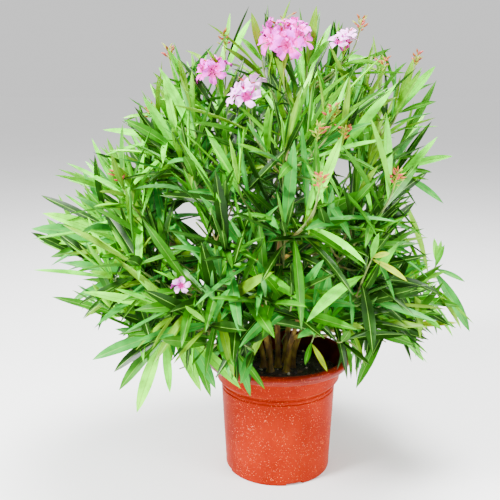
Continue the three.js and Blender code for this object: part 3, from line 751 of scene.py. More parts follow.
def plan_masses(stems):
    """The masses of foliage, tier by tier, each with its axis and its bough."""
    middle = stems[-1]
    plan = [("crown", "middle", 0, middle, TIERS["crown"]["leave"])]
    plan += [("top", side, turn, middle, leave) for side, turn, leave in TOP_SIDES]
    plan.append(("upper", "front", FRONT_TURN, middle, FRONT_LEAVE))
    for tier in ("upper", "side", "low"):
        leave = TIERS[tier]["leave"]
        plan += [(tier, side, turn, stem, leave) for (side, turn), stem in zip(SIDES, stems)]
    masses = []
    for tier, side, turn, stem, leave in plan:
        shape = TIERS[tier]
        lift = shape["lift"] * max(0, -heading(turn, 90).y)
        start_axis = heading(turn, shape["start_tilt"] - lift)
        start = HUB + start_axis * shape["start"] * reach_along(start_axis)
        masses.append({"tier": tier, "name": tier + "_" + side,
                       "axis": heading(turn, shape["tilt"] - lift),
                       "bough": make_bough(stem, leave, start, start_axis)})
    return masses


def in_wedge(point, mass, masses, margin):
    """Whether a point lies in the wedge of directions nearest to the mass's own axis."""
    out = point - HUB
    for other in masses:
        if other is not mass:
            across = (other["axis"] - mass["axis"]).normalized()
            if out.dot(across) > -margin:
                return False
    return True


# Meshes

class Shape:
    """Points and faces that become one mesh, with a material number for each face."""

    def __init__(self):
        self.points = []
        self.faces = []
        self.slots = []

    def add(self, points, faces, slots):
        base = len(self.points)
        self.points.extend(points)
        self.faces.extend(tuple(base + i for i in face) for face in faces)
        self.slots.extend(slots)


def made_of(materials, *names):
    return [materials[name] for name in names]


def make_piece(name, shape, materials, nodes, sharp):
    """A smooth mesh object with sharp edges where faces meet at more than an angle."""
    mesh = bpy.data.meshes.new(name)
    mesh.from_pydata(shape.points, [], shape.faces)
    for material in materials:
        mesh.materials.append(material)
    mesh.polygons.foreach_set("material_index", shape.slots)
    mesh.shade_smooth()
    mesh.set_sharp_from_angle(angle=math.radians(sharp))
    mesh.update()
    piece = placed(name, mesh)
    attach(piece, "root")
    if nodes:
        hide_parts(*nodes)


def add_tube(shape, limb, sides, slot_at, relief=None):
    """A closed tube along a limb; relief changes the radius by place."""
    last = len(limb.points) - 1
    points = []
    for i, (centre, pair) in enumerate(zip(limb.points, limb.frames())):
        radius = limb.radius_at(i / last)
        for place in ring(centre, pair, radius, sides):
            grown = 1 + (relief(place, i) if relief else 0)
            points.append(centre + (place - centre) * grown)
    slots = [slot_at(i / last) for i in range(last) for _ in range(sides)]
    shape.add(points, capped_faces(last + 1, sides), slots + [slot_at(0), slot_at(1)])


def add_closed(shape, start, rings, tip, slot_at):
    """A closed skin over rings of points between two end points; slots go by step and by side."""
    sides = len(rings[0])
    last = 1 + sides * (len(rings) - 1)
    faces = []
    slots = []
    for k in range(sides):
        after = (k + 1) % sides
        strip = [(0, 1 + after, 1 + k)]
        strip += [(here + k, here + after, here + sides + after, here + sides + k)
                  for here in range(1, last, sides)]
        strip.append((last + k, last + after, last + sides))
        faces += strip
        slots += [slot_at(step, k) for step in range(len(strip))]
    shape.add([start] + [point for row in rings for point in row] + [tip], faces, slots)


def half_width(share):
    """A leaf's half width at a share of its length, as a share of its greatest."""
    return math.sin(math.pi * share ** LEAF_SKEW) ** LEAF_FULLNESS


def add_leaf(shape, spine, width, fold, slots):
    """A closed leaf with a fold along its pale midrib, from its spine of points and directions."""
    rings = []
    for i, (centre, side, face) in enumerate(spine[1:-1], 1):
        half = max(LEAST_HALF_WIDTH, width / 2 * half_width(i / LEAF_STATIONS))
        edge = side * half * math.cos(fold)
        lift = face * half * math.sin(fold)
        rib = side * MIDRIB_HALF_WIDTH
        top = face * LEAF_HALF_THICKNESS
        keel = face * -KEEL_DEPTH
        rings.append((centre - edge + lift, centre - rib + top, centre + rib + top,
                      centre + edge + lift, centre + rib + keel, centre - rib + keel))
    upper, under, midrib = slots
    sides = (upper, midrib, upper, under, midrib, under)
    add_closed(shape, spine[0][0], rings, spine[-1][0], lambda step, side: sides[side])


def leaf_spine(root, along, face, length, droop, twist):
    """The spine of a leaf: it bends down by droop and twists as it goes out."""
    spine = []
    point = root
    for _ in range(LEAF_STATIONS + 1):
        spine.append((point, face.cross(along).normalized(), face))
        point = point + along * (length / LEAF_STATIONS)
        along = (along - UP * droop / LEAF_STATIONS).normalized()
        face = squared(Matrix.Rotation(twist / LEAF_STATIONS, 3, along) @ face, along)
    return spine


# Growth

def clear_of_limbs(points, guards):
    for guard in guards:
        near = [point for point in points if (point - guard["centre"]).length <= guard["span"]]
        if any((point - place).length < guard["radius"] + LIMB_MARGIN
               for point in near for place in guard["points"]):
            return False
    return True


def clear_of_pot(spine, width):
    """Whether the edges of a leaf keep out of the pot."""
    for i, (centre, side, _) in enumerate(spine):
        half = side * width / 2 * half_width(i / LEAF_STATIONS)
        for edge in (centre - half, centre + half):
            if math.hypot(edge.x, edge.y) < LIP_RADIUS and edge.z < POT_HEIGHT:
                return False
    return True


def limb_guard(limb):
    """What leaves are tested against: a limb's points, its radius, and the ball that holds it."""
    centre = (limb.points[0] + limb.points[-1]) / 2
    span = max((point - centre).length for point in limb.points) + GUARD_MARGIN
    return {"points": limb.points, "radius": limb.radius_at(0), "centre": centre, "span": span}


def make_shoot(controls, radius, rng, **traits):
    """A shoot's course, the turn of its first whorl, and how its leaves differ from the rule."""
    shoot = {"limb": Limb(controls, taper(radius, SHOOT_TIP_RADIUS)), "end": controls[-1],
             "roll": 360 * rng.random(), "back": FIRST_WHORL_BACK, "age": 0, "size": 1, "shading": 1}
    shoot.update(traits)
    return shoot


def leader_controls(mass):
    """The leader goes on from its bough nearly to the tip of the crown there."""
    start, aim = mass["bough"].at(1)
    start = start + aim * GAP
    chord = HUB + mass["axis"] * reach_along(mass["axis"]) - start
    length = max(LEAST_LEADER, chord.length - LEAF_LENGTH * LEADER_DEPTH)
    return [start, start + aim * length / 2, start + chord.normalized() * length]


def side_controls(leader, end, rise):
    """A side shoot leaves the leader below its end and curves out and up to it."""
    start = leader.points[0]
    chord = leader.points[-1] - start
    length = chord.length
    chord = chord / length
    along = (end - start).dot(chord)
    off = (end - start - chord * along).length
    leave = max(FOOT_CLEARANCE, min(length * LAST_FORK_SHARE, along - FORK_SLOPE * off)) / length
    fork = leader.at(leave)[0]
    outward = ((end - HUB).normalized() + UP * rise).normalized()
    return [fork, end - outward * SHOOT_BEND_SHARE * (fork - end).length, end]


def next_end(mass, masses, depth, shoots, rng):
    """The end of the next side shoot: the candidate furthest from the shoots so far."""
    best, best_distance = None, -1
    pair = cross_pair(mass["axis"])
    for _ in range(SHOOT_TRIES):
        spread = math.radians(SHOOT_SPREAD * math.sqrt(rng.random()))
        turn = 2 * math.pi * rng.random()
        direction = mass["axis"] * math.cos(spread) + around(pair, turn) * math.sin(spread)
        far = reach_along(direction) - depth * LEAF_LENGTH * near_one(rng, SHOOT_END_SPREAD)
        end = HUB + direction * far
        if not in_wedge(end, mass, masses, SHOOT_MARGIN) or not in_crown(end):
            continue
        distance = min((shoot["end"] - end).length for shoot in shoots)
        if distance > best_distance:
            best, best_distance = end, distance
    return best


def leaf_slots(kind):
    place = KIND_NAMES.index(kind)
    return 2 * place, 2 * place + 1, 2 * len(KIND_NAMES)


def painted_shade_at(root, age):
    """How dark leaves are, from 0 to 1: darker where old, with painted shade deep inside and low in
    the middle, and painted light on the flanks.
    """
    distance = (root - HUB).length
    depth = reach_along((root - HUB) / distance) - distance
    middle = max(0, 1 - abs(root.x) / SHADY_WIDTH)
    low = clamped((SHADY_HEIGHT - root.z) / SHADY_FADE)
    shade = AGE_SHADE * age + DEPTH_SHADE * depth / SHADE_DEPTH + LOW_SHADE * middle * low
    flank = clamped((abs(root.x) - FLANK_FROM) / FLANK_SPAN)
    return min(1, shade) * (1 - FLANK_LIGHT * flank)


def pick_kind(root, age, shading, rng):
    """The colour kind of a whorl or leaf: light at young tips, dark with painted shade, and olive high
    up.
    """
    shade = painted_shade_at(root, age) * shading
    high = clamped((root.z - HIGH_FROM) / HIGH_SPAN) * (1 - shade / 2)
    weights = []
    for young, old, top in zip(YOUNG_WEIGHTS, OLD_WEIGHTS, HIGH_WEIGHTS):
        weight = young + (old - young) * shade
        weights.append(weight + (top - weight) * high)
    return rng.choices(KIND_NAMES, weights)[0]


def turns_yellow(root, age, rng):
    """Whether a leaf has turned yellow: old ones do now and then, more where the photo shows them."""
    near = root.y < 0 and any(off_sight(root, place) < YELLOW_REACH for place in YELLOW_PLACES)
    return rng.random() < (YELLOW_SHARE if near else STRAY_YELLOW_SHARE) and age > LEAST_YELLOW_AGE


def grow_whorl(shape, shoot, back, age, turn, tier, guards, rng):
    """A whorl of leaves round a shoot, which open out, grow and sink with age."""
    limb = shoot["limb"]
    root, along = limb.at(max(0, 1 - back / limb.length))
    pair = cross_pair(along)
    opening = TIP_ANGLE + (tier["open"] - TIP_ANGLE) * age ** OPENING_POWER
    common = pick_kind(root, age, shoot["shading"], rng)
    for i in range(WHORL_LEAVES):
        out = around(pair, math.radians(turn + 360 * i / WHORL_LEAVES + off_zero(rng, TURN_SPREAD)))
        angle = math.radians(opening + off_zero(rng, ANGLE_SPREAD))
        direction = along * math.cos(angle) + out * math.sin(angle)
        direction = (direction - UP * (tier["droop"] * DROOP_WITH_AGE * age)).normalized()
        face = squared(along + UP * FACING_RISE, direction)
        size = LEAF_LENGTH * near_one(rng, LENGTH_SPREAD) * min(1, TIP_SIZE + GROWTH_WITH_AGE * age)
        size *= shoot["size"]
        sag = SAG * age + OLD_LEAF_SAG * age * rng.random() - YOUNG_LEAF_RISE * (1 - age)
        twist = math.radians(off_zero(rng, TWIST_SPREAD))
        width = size * LEAF_WIDTH_SHARE * tier["slim"] * near_one(rng, WIDTH_SPREAD)
        fold = math.radians(LEAST_FOLD + FOLD_SPREAD * rng.random())
        stray = rng.random() < STRAY_COLOR_SHARE
        kind = pick_kind(root, age, shoot["shading"], rng) if stray else common
        if turns_yellow(root, age, rng):
            kind = "yellow"
        for trim in LEAF_TRIMS:
            spine = leaf_spine(root, direction, face, size * trim, sag, twist)
            if leaf_fits(spine, width * trim, guards):
                add_leaf(shape, spine, width * trim, fold, leaf_slots(kind))
                break


def leaf_fits(spine, width, guards):
    """Whether a leaf keeps to the crown, clear of limbs and pot, and leaves the blossom in view."""
    points = [spine[station][0] for station in TESTED_STATIONS]
    inside = all(in_crown(point) and not before_blossom(point) for point in points)
    return inside and clear_of_limbs(points, guards) and clear_of_pot(spine, width)


def grow_leaves(shape, shoot, tier, guards, rng):
    """Whorls of leaves from a shoot's end back along it, each older than the last."""
    length = shoot["limb"].length
    back = shoot["back"]
    turn = shoot["roll"]
    for order in range(MOST_WHORLS):
        if back > length - FOOT_CLEARANCE or back > LEAFY_LENGTH:
            break
        age = min(1, shoot["age"] + order / (MOST_WHORLS - 1))
        grow_whorl(shape, shoot, back, age, turn, tier, guards, rng)
        back += WHORL_SPACING + WHORL_SPACING_GROWTH * order
        turn += 180 / WHORL_LEAVES


def grow_hand(shape, limb, leaves, rng):
    """The last leaves of a shoot, each from the shoot to a place of its own."""
    for order, (kind, across, up) in enumerate(leaves):
        root = limb.at(1 - min(HAND_LAST_SHARE, order * HAND_STEP / limb.length))[0]
        chord = Vector((across, root.y - HAND_LEAN, up)) - root
        length = chord.length
        direction = (chord.normalized() + UP * HAND_SAG / 2).normalized()
        face = squared(Vector((off_zero(rng, HAND_ROLL_SPREAD), *HAND_FACING)), direction)
        width = max(length, HAND_LEAST_LENGTH) * HAND_WIDTH_SHARE * near_one(rng, HAND_WIDTH_SPREAD)
        fold = math.radians(LEAST_FOLD + FOLD_SPREAD * rng.random() / 2)
        spine = leaf_spine(root, direction, face, length, HAND_SAG, off_zero(rng, HAND_TWIST_SPREAD))
        add_leaf(shape, spine, width, fold, leaf_slots(kind))


def grow_mass(mass, index, masses, guards, crown):
    """A mass of foliage: its leader, its side shoots, and their leaves, blossom and buds."""
    rng = random.Random(SEED + index)
    tier = TIERS[mass["tier"]]
    leaves = crown["leaves"][mass["tier"]]
    shoots = [make_shoot(leader_controls(mass), LEADER_RADIUS, rng)]

    def add_shoot(end, rise, **traits):
        controls = side_controls(shoots[0]["limb"], end, rise)
        shoots.append(make_shoot(controls, SHOOT_RADIUS, rng, **traits))
        return shoots[-1]["limb"]

    def own(rows):
        """Rows of a table whose place, which comes first, lies in the mass's wedge."""
        return [(Vector(place), *rest) for place, *rest in rows
                if in_wedge(Vector(place), mass, masses, 0)]

    for place, radius, flowers, buds, pale in own(FLOWER_HEADS):
        foot = place - (place - HUB).normalized() * radius * HEAD_FOOT_SHARE
        add_shoot(foot, tier["rise"], back=HEAD_WHORLS_BACK, age=HEAD_AGE)
        add_blossom(crown, foot, place, radius, flowers, buds, pale, rng)
    for (place,) in own(zip(BUD_HEADS)):
        limb = add_shoot(place, tier["rise"], back=BUD_WHORLS_BACK, age=BUD_AGE)
        add_bud_head(crown, place, limb.at(1)[1], HEAD_BUDS, BUD_HEAD_SPREAD, rng)
    for place, turned in own(SHOOT_TIPS):
        add_shoot(place, turned, size=TIP_SHOOT_SIZE, shading=TIP_SHOOT_SHADE)
    for place, turned, hand in own(HANDS):
        limb = add_shoot(place, turned, back=HAND_WHORLS_BACK, age=HAND_AGE)
        grow_hand(leaves, limb, hand, rng)
    for depth in SHOOT_DEPTHS[:tier["shoots"]]:
        end = next_end(mass, masses, depth, shoots, rng)
        if end is not None:
            limb = add_shoot(end, tier["rise"])
            if not all(in_crown(point) for point in limb.points):
                shoots.pop()
    for shoot in shoots:
        add_tube(crown["shoots"], shoot["limb"], SHOOT_SIDES, green_from(SHOOT_GREEN_FROM))
        grow_leaves(leaves, shoot, tier, guards, rng)


# Blossom

def petal_sheet(centre, axis, out, size, lift, rng):
    """A petal's grid of points: narrow at the throat, broad and askew at its end."""
    side = axis.cross(out).normalized()
    wave = rng.random() * 2 * math.pi
    rows = []
    for i in range(PETAL_STEPS + 1):
        u = i / PETAL_STEPS
        far = PETAL_START + (1 - PETAL_START) * u
        widening = taper(*PETAL_WIDENING)(u)
        swing = math.sin(math.pi * widening ** PETAL_WIDENING_POWER)
        half = PETAL_FOOT_HALF_WIDTH + PETAL_HALF_WIDTH * swing
        fall = PETAL_FALL * max(0, u - PETAL_FALL_FROM) ** PETAL_FALL_POWER
        rise = lift * math.sin(u * math.pi * PETAL_ARCH) - fall
        row = []
        for k in range(PETAL_ACROSS + 1):
            v = 2 * k / PETAL_ACROSS - 1
            frill = PETAL_FRILL * u ** PETAL_FRILL_POWER * math.sin(PETAL_FRILL_WAVES * v + 2 * wave)
            ripple = PETAL_RIPPLE * u * math.sin(PETAL_RIPPLE_WAVES * v + wave)
            along = far - PETAL_BLUNTNESS * u * v * v + frill
            across = half * v + PETAL_SKEW * u * u
            up = rise + ripple + PETAL_CUP * v * v * u
            row.append(centre + (out * along + side * across + axis * up) * size)
        rows.append(row)
    return rows


def add_petal(shape, rows, axis, slots):
    """A closed thin petal from its grid, deep at the throat and paler towards its end."""
    across = PETAL_ACROSS + 1
    points = [point for row in rows for point in row]
    for i, row in enumerate(rows):
        for k, point in enumerate(row):
            rim = i in (0, PETAL_STEPS) or k in (0, PETAL_ACROSS)
            points.append(point if rim else point - axis * PETAL_THICKNESS)
    faces = []
    numbers = []
    for i in range(PETAL_STEPS):
        for corner in range(i * across, i * across + PETAL_ACROSS):
            quad = (corner, corner + across, corner + across + 1, corner + 1)
            faces += [quad, tuple(across * len(rows) + n for n in reversed(quad))]
            numbers += [slots[i], slots[-1] if i else slots[1]]
    shape.add(points, faces, numbers)


def add_spindle(shape, start, along, length, radius, slots, sides=6):
    """A bud: a closed spindle, fullest below its middle."""
    pair = cross_pair(along)
    rings = [ring(start + along * length * far, pair, radius * wide, sides)
             for far, wide in SPINDLE_PROFILE]
    add_closed(shape, start, rings, start + along * length,
               lambda step, side: slots[0] if step < 2 else slots[1])


def add_stalk(shape, start, end, along, radius, slot):
    """A thin stalk that leaves along a direction; returns the direction at its end."""
    length = (end - start).length
    limb = Limb([start, start + along * length / 2, end], taper(radius, radius * STALK_TAPER),
                length / STALK_STEPS)
    add_tube(shape, limb, STALK_SIDES, lambda share: slot)
    return limb.at(1)[1]


def add_flower(crown, centre, axis, radius, pale, rng):
    """A flower: five askew petals round a deep throat, with a fringe, on a tube in its calyx."""
    petals = crown["petals"]
    slots = PALE_PETAL_SLOTS if rng.random() < pale else PETAL_SLOTS
    pair = cross_pair(axis)
    start = rng.random() * 2 * math.pi
    lift = FLOWER_LIFT * (1 + rng.random())
    for i in range(PETALS):
        out = around(pair, start + 2 * math.pi * (i + off_zero(rng, PETAL_TURN_SPREAD)) / PETALS)
        size = radius * near_one(rng, PETAL_SIZE_SPREAD)
        add_petal(petals, petal_sheet(centre, axis, out, size, lift, rng), axis, slots)
        fringe = (out * FRINGE_LEAN + axis).normalized()
        add_spindle(petals, centre + out * radius * FRINGE_START, fringe, radius * FRINGE_LENGTH,
                    radius * FRINGE_RADIUS, (0, 1), SMALL_SIDES)
    tube = Limb([centre - axis * radius * TUBE_DEPTH, centre + axis * radius * TUBE_TOP],
                taper(radius * TUBE_FOOT_RADIUS, radius * TUBE_MOUTH_RADIUS), radius * TUBE_STEP)
    add_tube(petals, tube, TUBE_SIDES, lambda share: 1)
    for i in range(PETALS):
        out = around(pair, start + 2 * math.pi * (i + 0.5) / PETALS)
        sepal = (axis + out * SEPAL_LEAN).normalized()
        add_spindle(crown["buds"], centre - axis * radius * SEPAL_START, sepal, radius * SEPAL_LENGTH,
                    radius * SEPAL_RADIUS, (2, 1), SMALL_SIDES)


def add_blossom(crown, foot, place, radius, flowers, buds, pale, rng):
    """A head of blossom: flowers and buds on short stalks over a dome."""
    axis = (place - HUB).normalized()
    toward = (axis + HEAD_FACING).normalized()
    pair = cross_pair(toward)
    for i in range(flowers):
        turn = SPIRAL_TURN * i + rng.random() * HEAD_TURN_SPREAD
        out = (toward + around(pair, turn) * math.sqrt(i / flowers) * HEAD_SPREAD).normalized()
        size = min(FLOWER_RADIUS, radius * LARGEST_FLOWER_SHARE) * near_one(rng, FLOWER_SIZE_SPREAD)
        centre = place + out * radius * HEAD_DEPTH * (1 + rng.random()) - axis * HEAD_SINK
        tilt = Vector([off_zero(rng, FLOWER_TILT) for _ in range(3)])
        out = (out + tilt).normalized()
        add_flower(crown, centre, out, size, pale, rng)
        add_stalk(crown["buds"], foot, centre - out * size * TUBE_DEPTH, axis, FLOWER_STALK_RADIUS, 2)
    add_bud_head(crown, foot + axis * radius / 2, axis, buds, radius, rng)


def add_bud_head(crown, place, along, count, spread, rng):
    """A head in bud: a stalk with short branches that bear coral and yellow-green buds."""
    buds = crown["buds"]
    along = (along + UP * BUD_HEAD_RISE).normalized()
    pair = cross_pair(along)
    height = spread * BUD_HEAD_HEIGHT
    add_stalk(buds, place, place + along * height, along, BUD_STALK_RADIUS, 2)
    for i in range(count):
        turn = SPIRAL_TURN * i + rng.random()
        share = FIRST_BUD_SHARE + (1 - FIRST_BUD_SHARE) * i / count
        aim = (along + around(pair, turn) * between(rng, *BUD_LEAN_RANGE)).normalized()
        node = place + along * height * share
        end = node + aim * spread * (1 - BUD_HEAD_TAPER * share) * between(rng, *BUD_BRANCH_RANGE)
        outward = add_stalk(buds, node, end, along, BUD_BRANCH_RADIUS, 2)
        length = BUD_LENGTH * between(rng, *BUD_LENGTH_RANGE)
        if rng.random() < YOUNG_BUD_SHARE:
            radius, slots = BUD_RADIUS * YOUNG_BUD_SIZE, (2, 2)
        else:
            radius, slots = BUD_RADIUS, (2, 0) if rng.random() < CORAL_BUD_SHARE else (1, 1)
        add_spindle(buds, end, outward, length, radius, slots)


# Bark

def bark_relief(point, step):
    """Ridges, knots and the rings of old leaf scars, as a share of the radius."""
    fine = Vector([along * fineness for along, fineness in zip(point, RIDGE_FINENESS)])
    scar = SCAR_HEIGHT if step % SCAR_EVERY == 0 else 0
    return noise.noise(fine) * RIDGE_HEIGHT + noise.noise(point * KNOT_FINENESS) * KNOT_HEIGHT + scar


def make_limbs(kind, limbs, sides, slot_at, bark):
    """One piece for all limbs of a kind, with the relief of their bark."""
    shape = Shape()
    for limb in limbs:
        add_tube(shape, limb, sides, slot_at, bark_relief)
    nodes = [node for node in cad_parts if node.startswith(kind + "_")]
    make_piece("bark_of_%ss" % kind, shape, bark, nodes, sharp=80)


# Pot and soil

def arc(centre, radius, start, end, steps):
    """Profile points round a centre, by angles in degrees."""
    angles = [math.radians(start + (end - start) * i / steps) for i in range(steps + 1)]
    return [(centre[0] + radius * math.cos(a), centre[1] + radius * math.sin(a)) for a in angles]


def groove(low, width):
    """A rounded groove in the body, from its lower edge up."""
    shares = [i / GROOVE_ROWS for i in range(GROOVE_ROWS + 1)]
    return [(BODY_RADIUS - GROOVE_DEPTH * math.sin(math.pi * share), low + width * share)
            for share in shares]


def pot_profile():
    """The pot's wall from the edge of its base up, over the lip and down inside to the floor."""
    upper_low = BODY_HEIGHT + LOWER_GROOVE_WIDTH + RIDGE_WIDTH
    upper_top = upper_low + UPPER_GROOVE_WIDTH
    collar_foot = upper_top + SHOULDER_RISE
    lip_foot = POT_HEIGHT - 2 * LIP_ROLL
    rows = [(BASE_RADIUS - EDGE_ROUNDING, 0), (BASE_RADIUS - SOFTENING, 0.0007),
            (BASE_RADIUS, EDGE_ROUNDING)]
    rows += [(BASE_RADIUS + 0.0001, NOTCH_HEIGHT - 0.0004), (BASE_RADIUS + 0.0002, NOTCH_HEIGHT)]
    for i in range(1, BODY_ROWS):
        share = i / BODY_ROWS
        rows.append((BASE_RADIUS + (BODY_RADIUS - BASE_RADIUS) * share,
                     NOTCH_HEIGHT + (BODY_HEIGHT - NOTCH_HEIGHT) * share))
    rows += groove(BODY_HEIGHT, LOWER_GROOVE_WIDTH) + groove(upper_low, UPPER_GROOVE_WIDTH)
    rows += [(BODY_RADIUS + 0.001, upper_top + 0.0004), (COLLAR_RADIUS - 0.0025, collar_foot - 0.0018)]
    rows += [(COLLAR_RADIUS - COLLAR_DRAFT - 0.0004, collar_foot),
             (COLLAR_RADIUS - COLLAR_DRAFT, collar_foot + 0.0015)]
    rows += [(COLLAR_RADIUS - 0.0004, lip_foot - 0.003), (COLLAR_RADIUS + SOFTENING, lip_foot - 0.0006)]
    rows += arc((LIP_RADIUS - LIP_ROLL, POT_HEIGHT - LIP_ROLL), LIP_ROLL, -90, 90, LIP_ROWS)
    rows += [(MOUTH_RADIUS + SOFTENING, POT_HEIGHT - SOFTENING), (MOUTH_RADIUS, POT_HEIGHT - WALL)]
    rows += [(COLLAR_RADIUS - WALL + 0.002, lip_foot - 0.001), (COLLAR_RADIUS - WALL, lip_foot - 0.004)]
    rows += [(COLLAR_RADIUS - WALL - COLLAR_DRAFT, collar_foot + WALL),
             (BODY_RADIUS - GROOVE_DEPTH - WALL, upper_top - WALL), (BASE_RADIUS - WALL, FLOOR)]
    return rows


def notch_share(turn):
    """How deep in a drain notch a turn lies, from 0 beside it to 1 well inside it."""
    span = 360 / NOTCHES
    off = abs((turn - NOTCH_TURN + span / 2) % span - span / 2)
    half = math.degrees(NOTCH_WIDTH / 2 / BASE_RADIUS)
    return clamped((half - off) / NOTCH_EDGE_TURN)


def make_pot(materials):
    """The pot as one turned closed mesh, with drain notches in the edge of its foot."""
    rows = pot_profile()
    points = []
    for radius, height in rows:
        foot = height < NOTCHED_BELOW and radius > NOTCHED_FROM
        for k in range(POT_SEGMENTS):
            turn = 360 * k / POT_SEGMENTS
            out = heading(turn, 90)
            swell = POT_SWELL * noise.noise(out * SWELL_FINENESS[0] + UP * height * SWELL_FINENESS[1])
            wide = radius + swell - (NOTCH_DEPTH * notch_share(turn) if foot else 0)
            points.append(Vector((out.x * wide, out.y * wide, height)))
    # Rows from here on are the inner wall, darkened with painted shade
    outer = len(rows) - INNER_ROWS
    slots = []
    for i, (radius, _) in enumerate(rows[:-1]):
        # Slot 2, the lip, is darkened with painted shade from the crown above
        part = 1 if i >= outer else 2 if radius > LIP_COLOR_FROM else 0
        slots += [part] * POT_SEGMENTS
    shape = Shape()
    shape.add(points, capped_faces(len(rows), POT_SEGMENTS), slots + [0, 1])
    make_piece("terracotta_pot", shape, made_of(materials, "pot", "shaded_inside", "lip"),
               ["pot"], sharp=40)
    make_drops(rows, materials)


def wall_place(rows, rng):
    """A random place on the pot's outer wall or lip, and the way it faces."""
    outer = rows[FIRST_WET_ROW:rows.index(max(rows)) + WET_ROWS_PAST_LIP]
    lengths = [math.dist(a, b) for a, b in zip(outer, outer[1:])]
    pick = rng.choices(range(len(lengths)), lengths)[0]
    part = rng.random()
    (r0, z0), (r1, z1) = outer[pick], outer[pick + 1]
    slope = math.atan2(r0 - r1, z1 - z0)
    turn = rng.random() * 2 * math.pi
    radius, height = r0 + (r1 - r0) * part, z0 + (z1 - z0) * part
    out = Vector((math.cos(turn), math.sin(turn), 0))
    face = out * math.cos(slope) + UP * math.sin(slope)
    return Vector((out.x * radius, out.y * radius, height)), face


def make_drops(rows, materials):
    """Water drops that cling to the pot's wall."""
    rng = random.Random(SEED)
    shape = Shape()
    for _ in range(DROPS):
        place, face = wall_place(rows, rng)
        add_drop(shape, place, face, LEAST_DROP + DROP_SPREAD * rng.random() ** 3)
    make_piece("water_drops", shape, made_of(materials, "water"), (), sharp=60)


def add_drop(shape, place, face, radius):
    """A drop: a low dome whose foot lies just inside the wall."""
    pair = cross_pair(face)
    sides = DROP_SIDES
    points = []
    for wide, high in DROP_PROFILE:
        points += ring(place + face * radius * high, pair, radius * wide, sides)
    top = len(points)
    faces = ring_faces(len(DROP_PROFILE), sides)
    faces += [(top - sides + k, top - sides + (k + 1) % sides, top) for k in range(sides)]
    faces.append(tuple(reversed(range(sides))))
    shape.add(points + [place + face * radius * DROP_TOP], faces, [0] * len(faces))


def soil_height(x, y):
    """The uneven top of the soil."""
    beyond = (math.hypot(x, y) - SOIL_FLAT_RADIUS) / (COLLAR_RADIUS - SOIL_FLAT_RADIUS)
    lumps = sum(high * noise.noise(Vector((x, y, 0)) * fine) for high, fine in SOIL_LUMPS)
    return SOIL_LEVEL - SOIL_FALL * max(0, beyond) + lumps - SOIL_SINK


def make_soil(materials):
    """The soil: an uneven top on a plain block."""
    sides = SOIL_SIDES
    rings = [(SOIL_EDGE_RADIUS * i / SOIL_RINGS, None) for i in range(1, SOIL_RINGS + 1)]
    rings += [(SOIL_EDGE_RADIUS, SOIL_EDGE_HEIGHT),
              (BODY_RADIUS - GROOVE_DEPTH - WALL - GAP, SOIL_SHOULDER_HEIGHT),
              (BASE_RADIUS - WALL - GAP, FLOOR + GAP)]
    points = [Vector((0, 0, soil_height(0, 0)))]
    for radius, height in rings:
        for k in range(sides):
            turn = 2 * math.pi * k / sides
            x, y = radius * math.cos(turn), radius * math.sin(turn)
            points.append(Vector((x, y, height or soil_height(x, y))))
    faces = [(0, 1 + k, 1 + (k + 1) % sides) for k in range(sides)]
    faces += [(a, d, c, b) for a, b, c, d in ring_faces(len(rings), sides, 1)]
    faces.append(tuple(reversed(range(len(points) - sides, len(points)))))
    shape = Shape()
    shape.add(points, faces, [0] * len(faces))
    make_piece("moist_soil", shape, made_of(materials, "soil"), ["soil"], sharp=60)


def make_crumbs(materials):
    """Crumbs, chips of bark and pale grains that lie on the soil."""
    rng = random.Random(SEED + 1)
    shape = Shape()
    for _ in range(CRUMBS):
        turn = rng.random() * 2 * math.pi
        radius = (SOIL_EDGE_RADIUS - CRUMB_MARGIN) * math.sqrt(rng.random())
        x, y = radius * math.cos(turn), radius * math.sin(turn)
        size = LEAST_CRUMB + CRUMB_SPREAD * rng.random() ** 2
        kind = rng.choices((0, 1, 2), CRUMB_WEIGHTS)[0]
        place = Vector((x, y, soil_height(x, y) + size * CRUMB_LIFT))
        add_crumb(shape, place, size, CRUMB_LENGTHS[kind], kind, rng)
    make_piece("soil_crumbs", shape, made_of(materials, "soil", "chips", "grit"),
               (), sharp=30)


def add_crumb(shape, place, size, long, slot, rng):
    """A crumb: a small angular lump, drawn out along a random way."""
    along = Vector((off_zero(rng, 1), off_zero(rng, 1), off_zero(rng, 0.3))).normalized()
    pair = cross_pair(along)
    sides = CRUMB_SIDES
    points = []
    for k in range(sides):
        wide = size * between(rng, *CRUMB_WIDTH_RANGE)
        points.append(place + around(pair, 2 * math.pi * k / sides) * wide)
    points += [place + along * size * long, place - along * size * long]
    faces = [(k, (k + 1) % sides, sides) for k in range(sides)]
    faces += [((k + 1) % sides, k, sides + 1) for k in range(sides)]
    shape.add(points, faces, [slot] * len(faces))


# Materials

def node_material(name, roughness, specular=0.5, coat=0.0):
    material = bpy.data.materials.new(name)
    material.use_nodes = True
    shader = material.node_tree.nodes["Principled BSDF"]
    fill_in(shader, {"Roughness": roughness, "Specular IOR Level": specular, "Coat Weight": coat})
    return material, material.node_tree, shader


def noise_node(tree, mapping, scale, detail):
    """A noise texture; gives its strength from place to place."""
    texture = tree.nodes.new("ShaderNodeTexNoise")
    fill_in(texture, {"Scale": scale, "Detail": detail})
    tree.links.new(mapping.outputs["Vector"], texture.inputs["Vector"])
    return texture.outputs["Fac"]


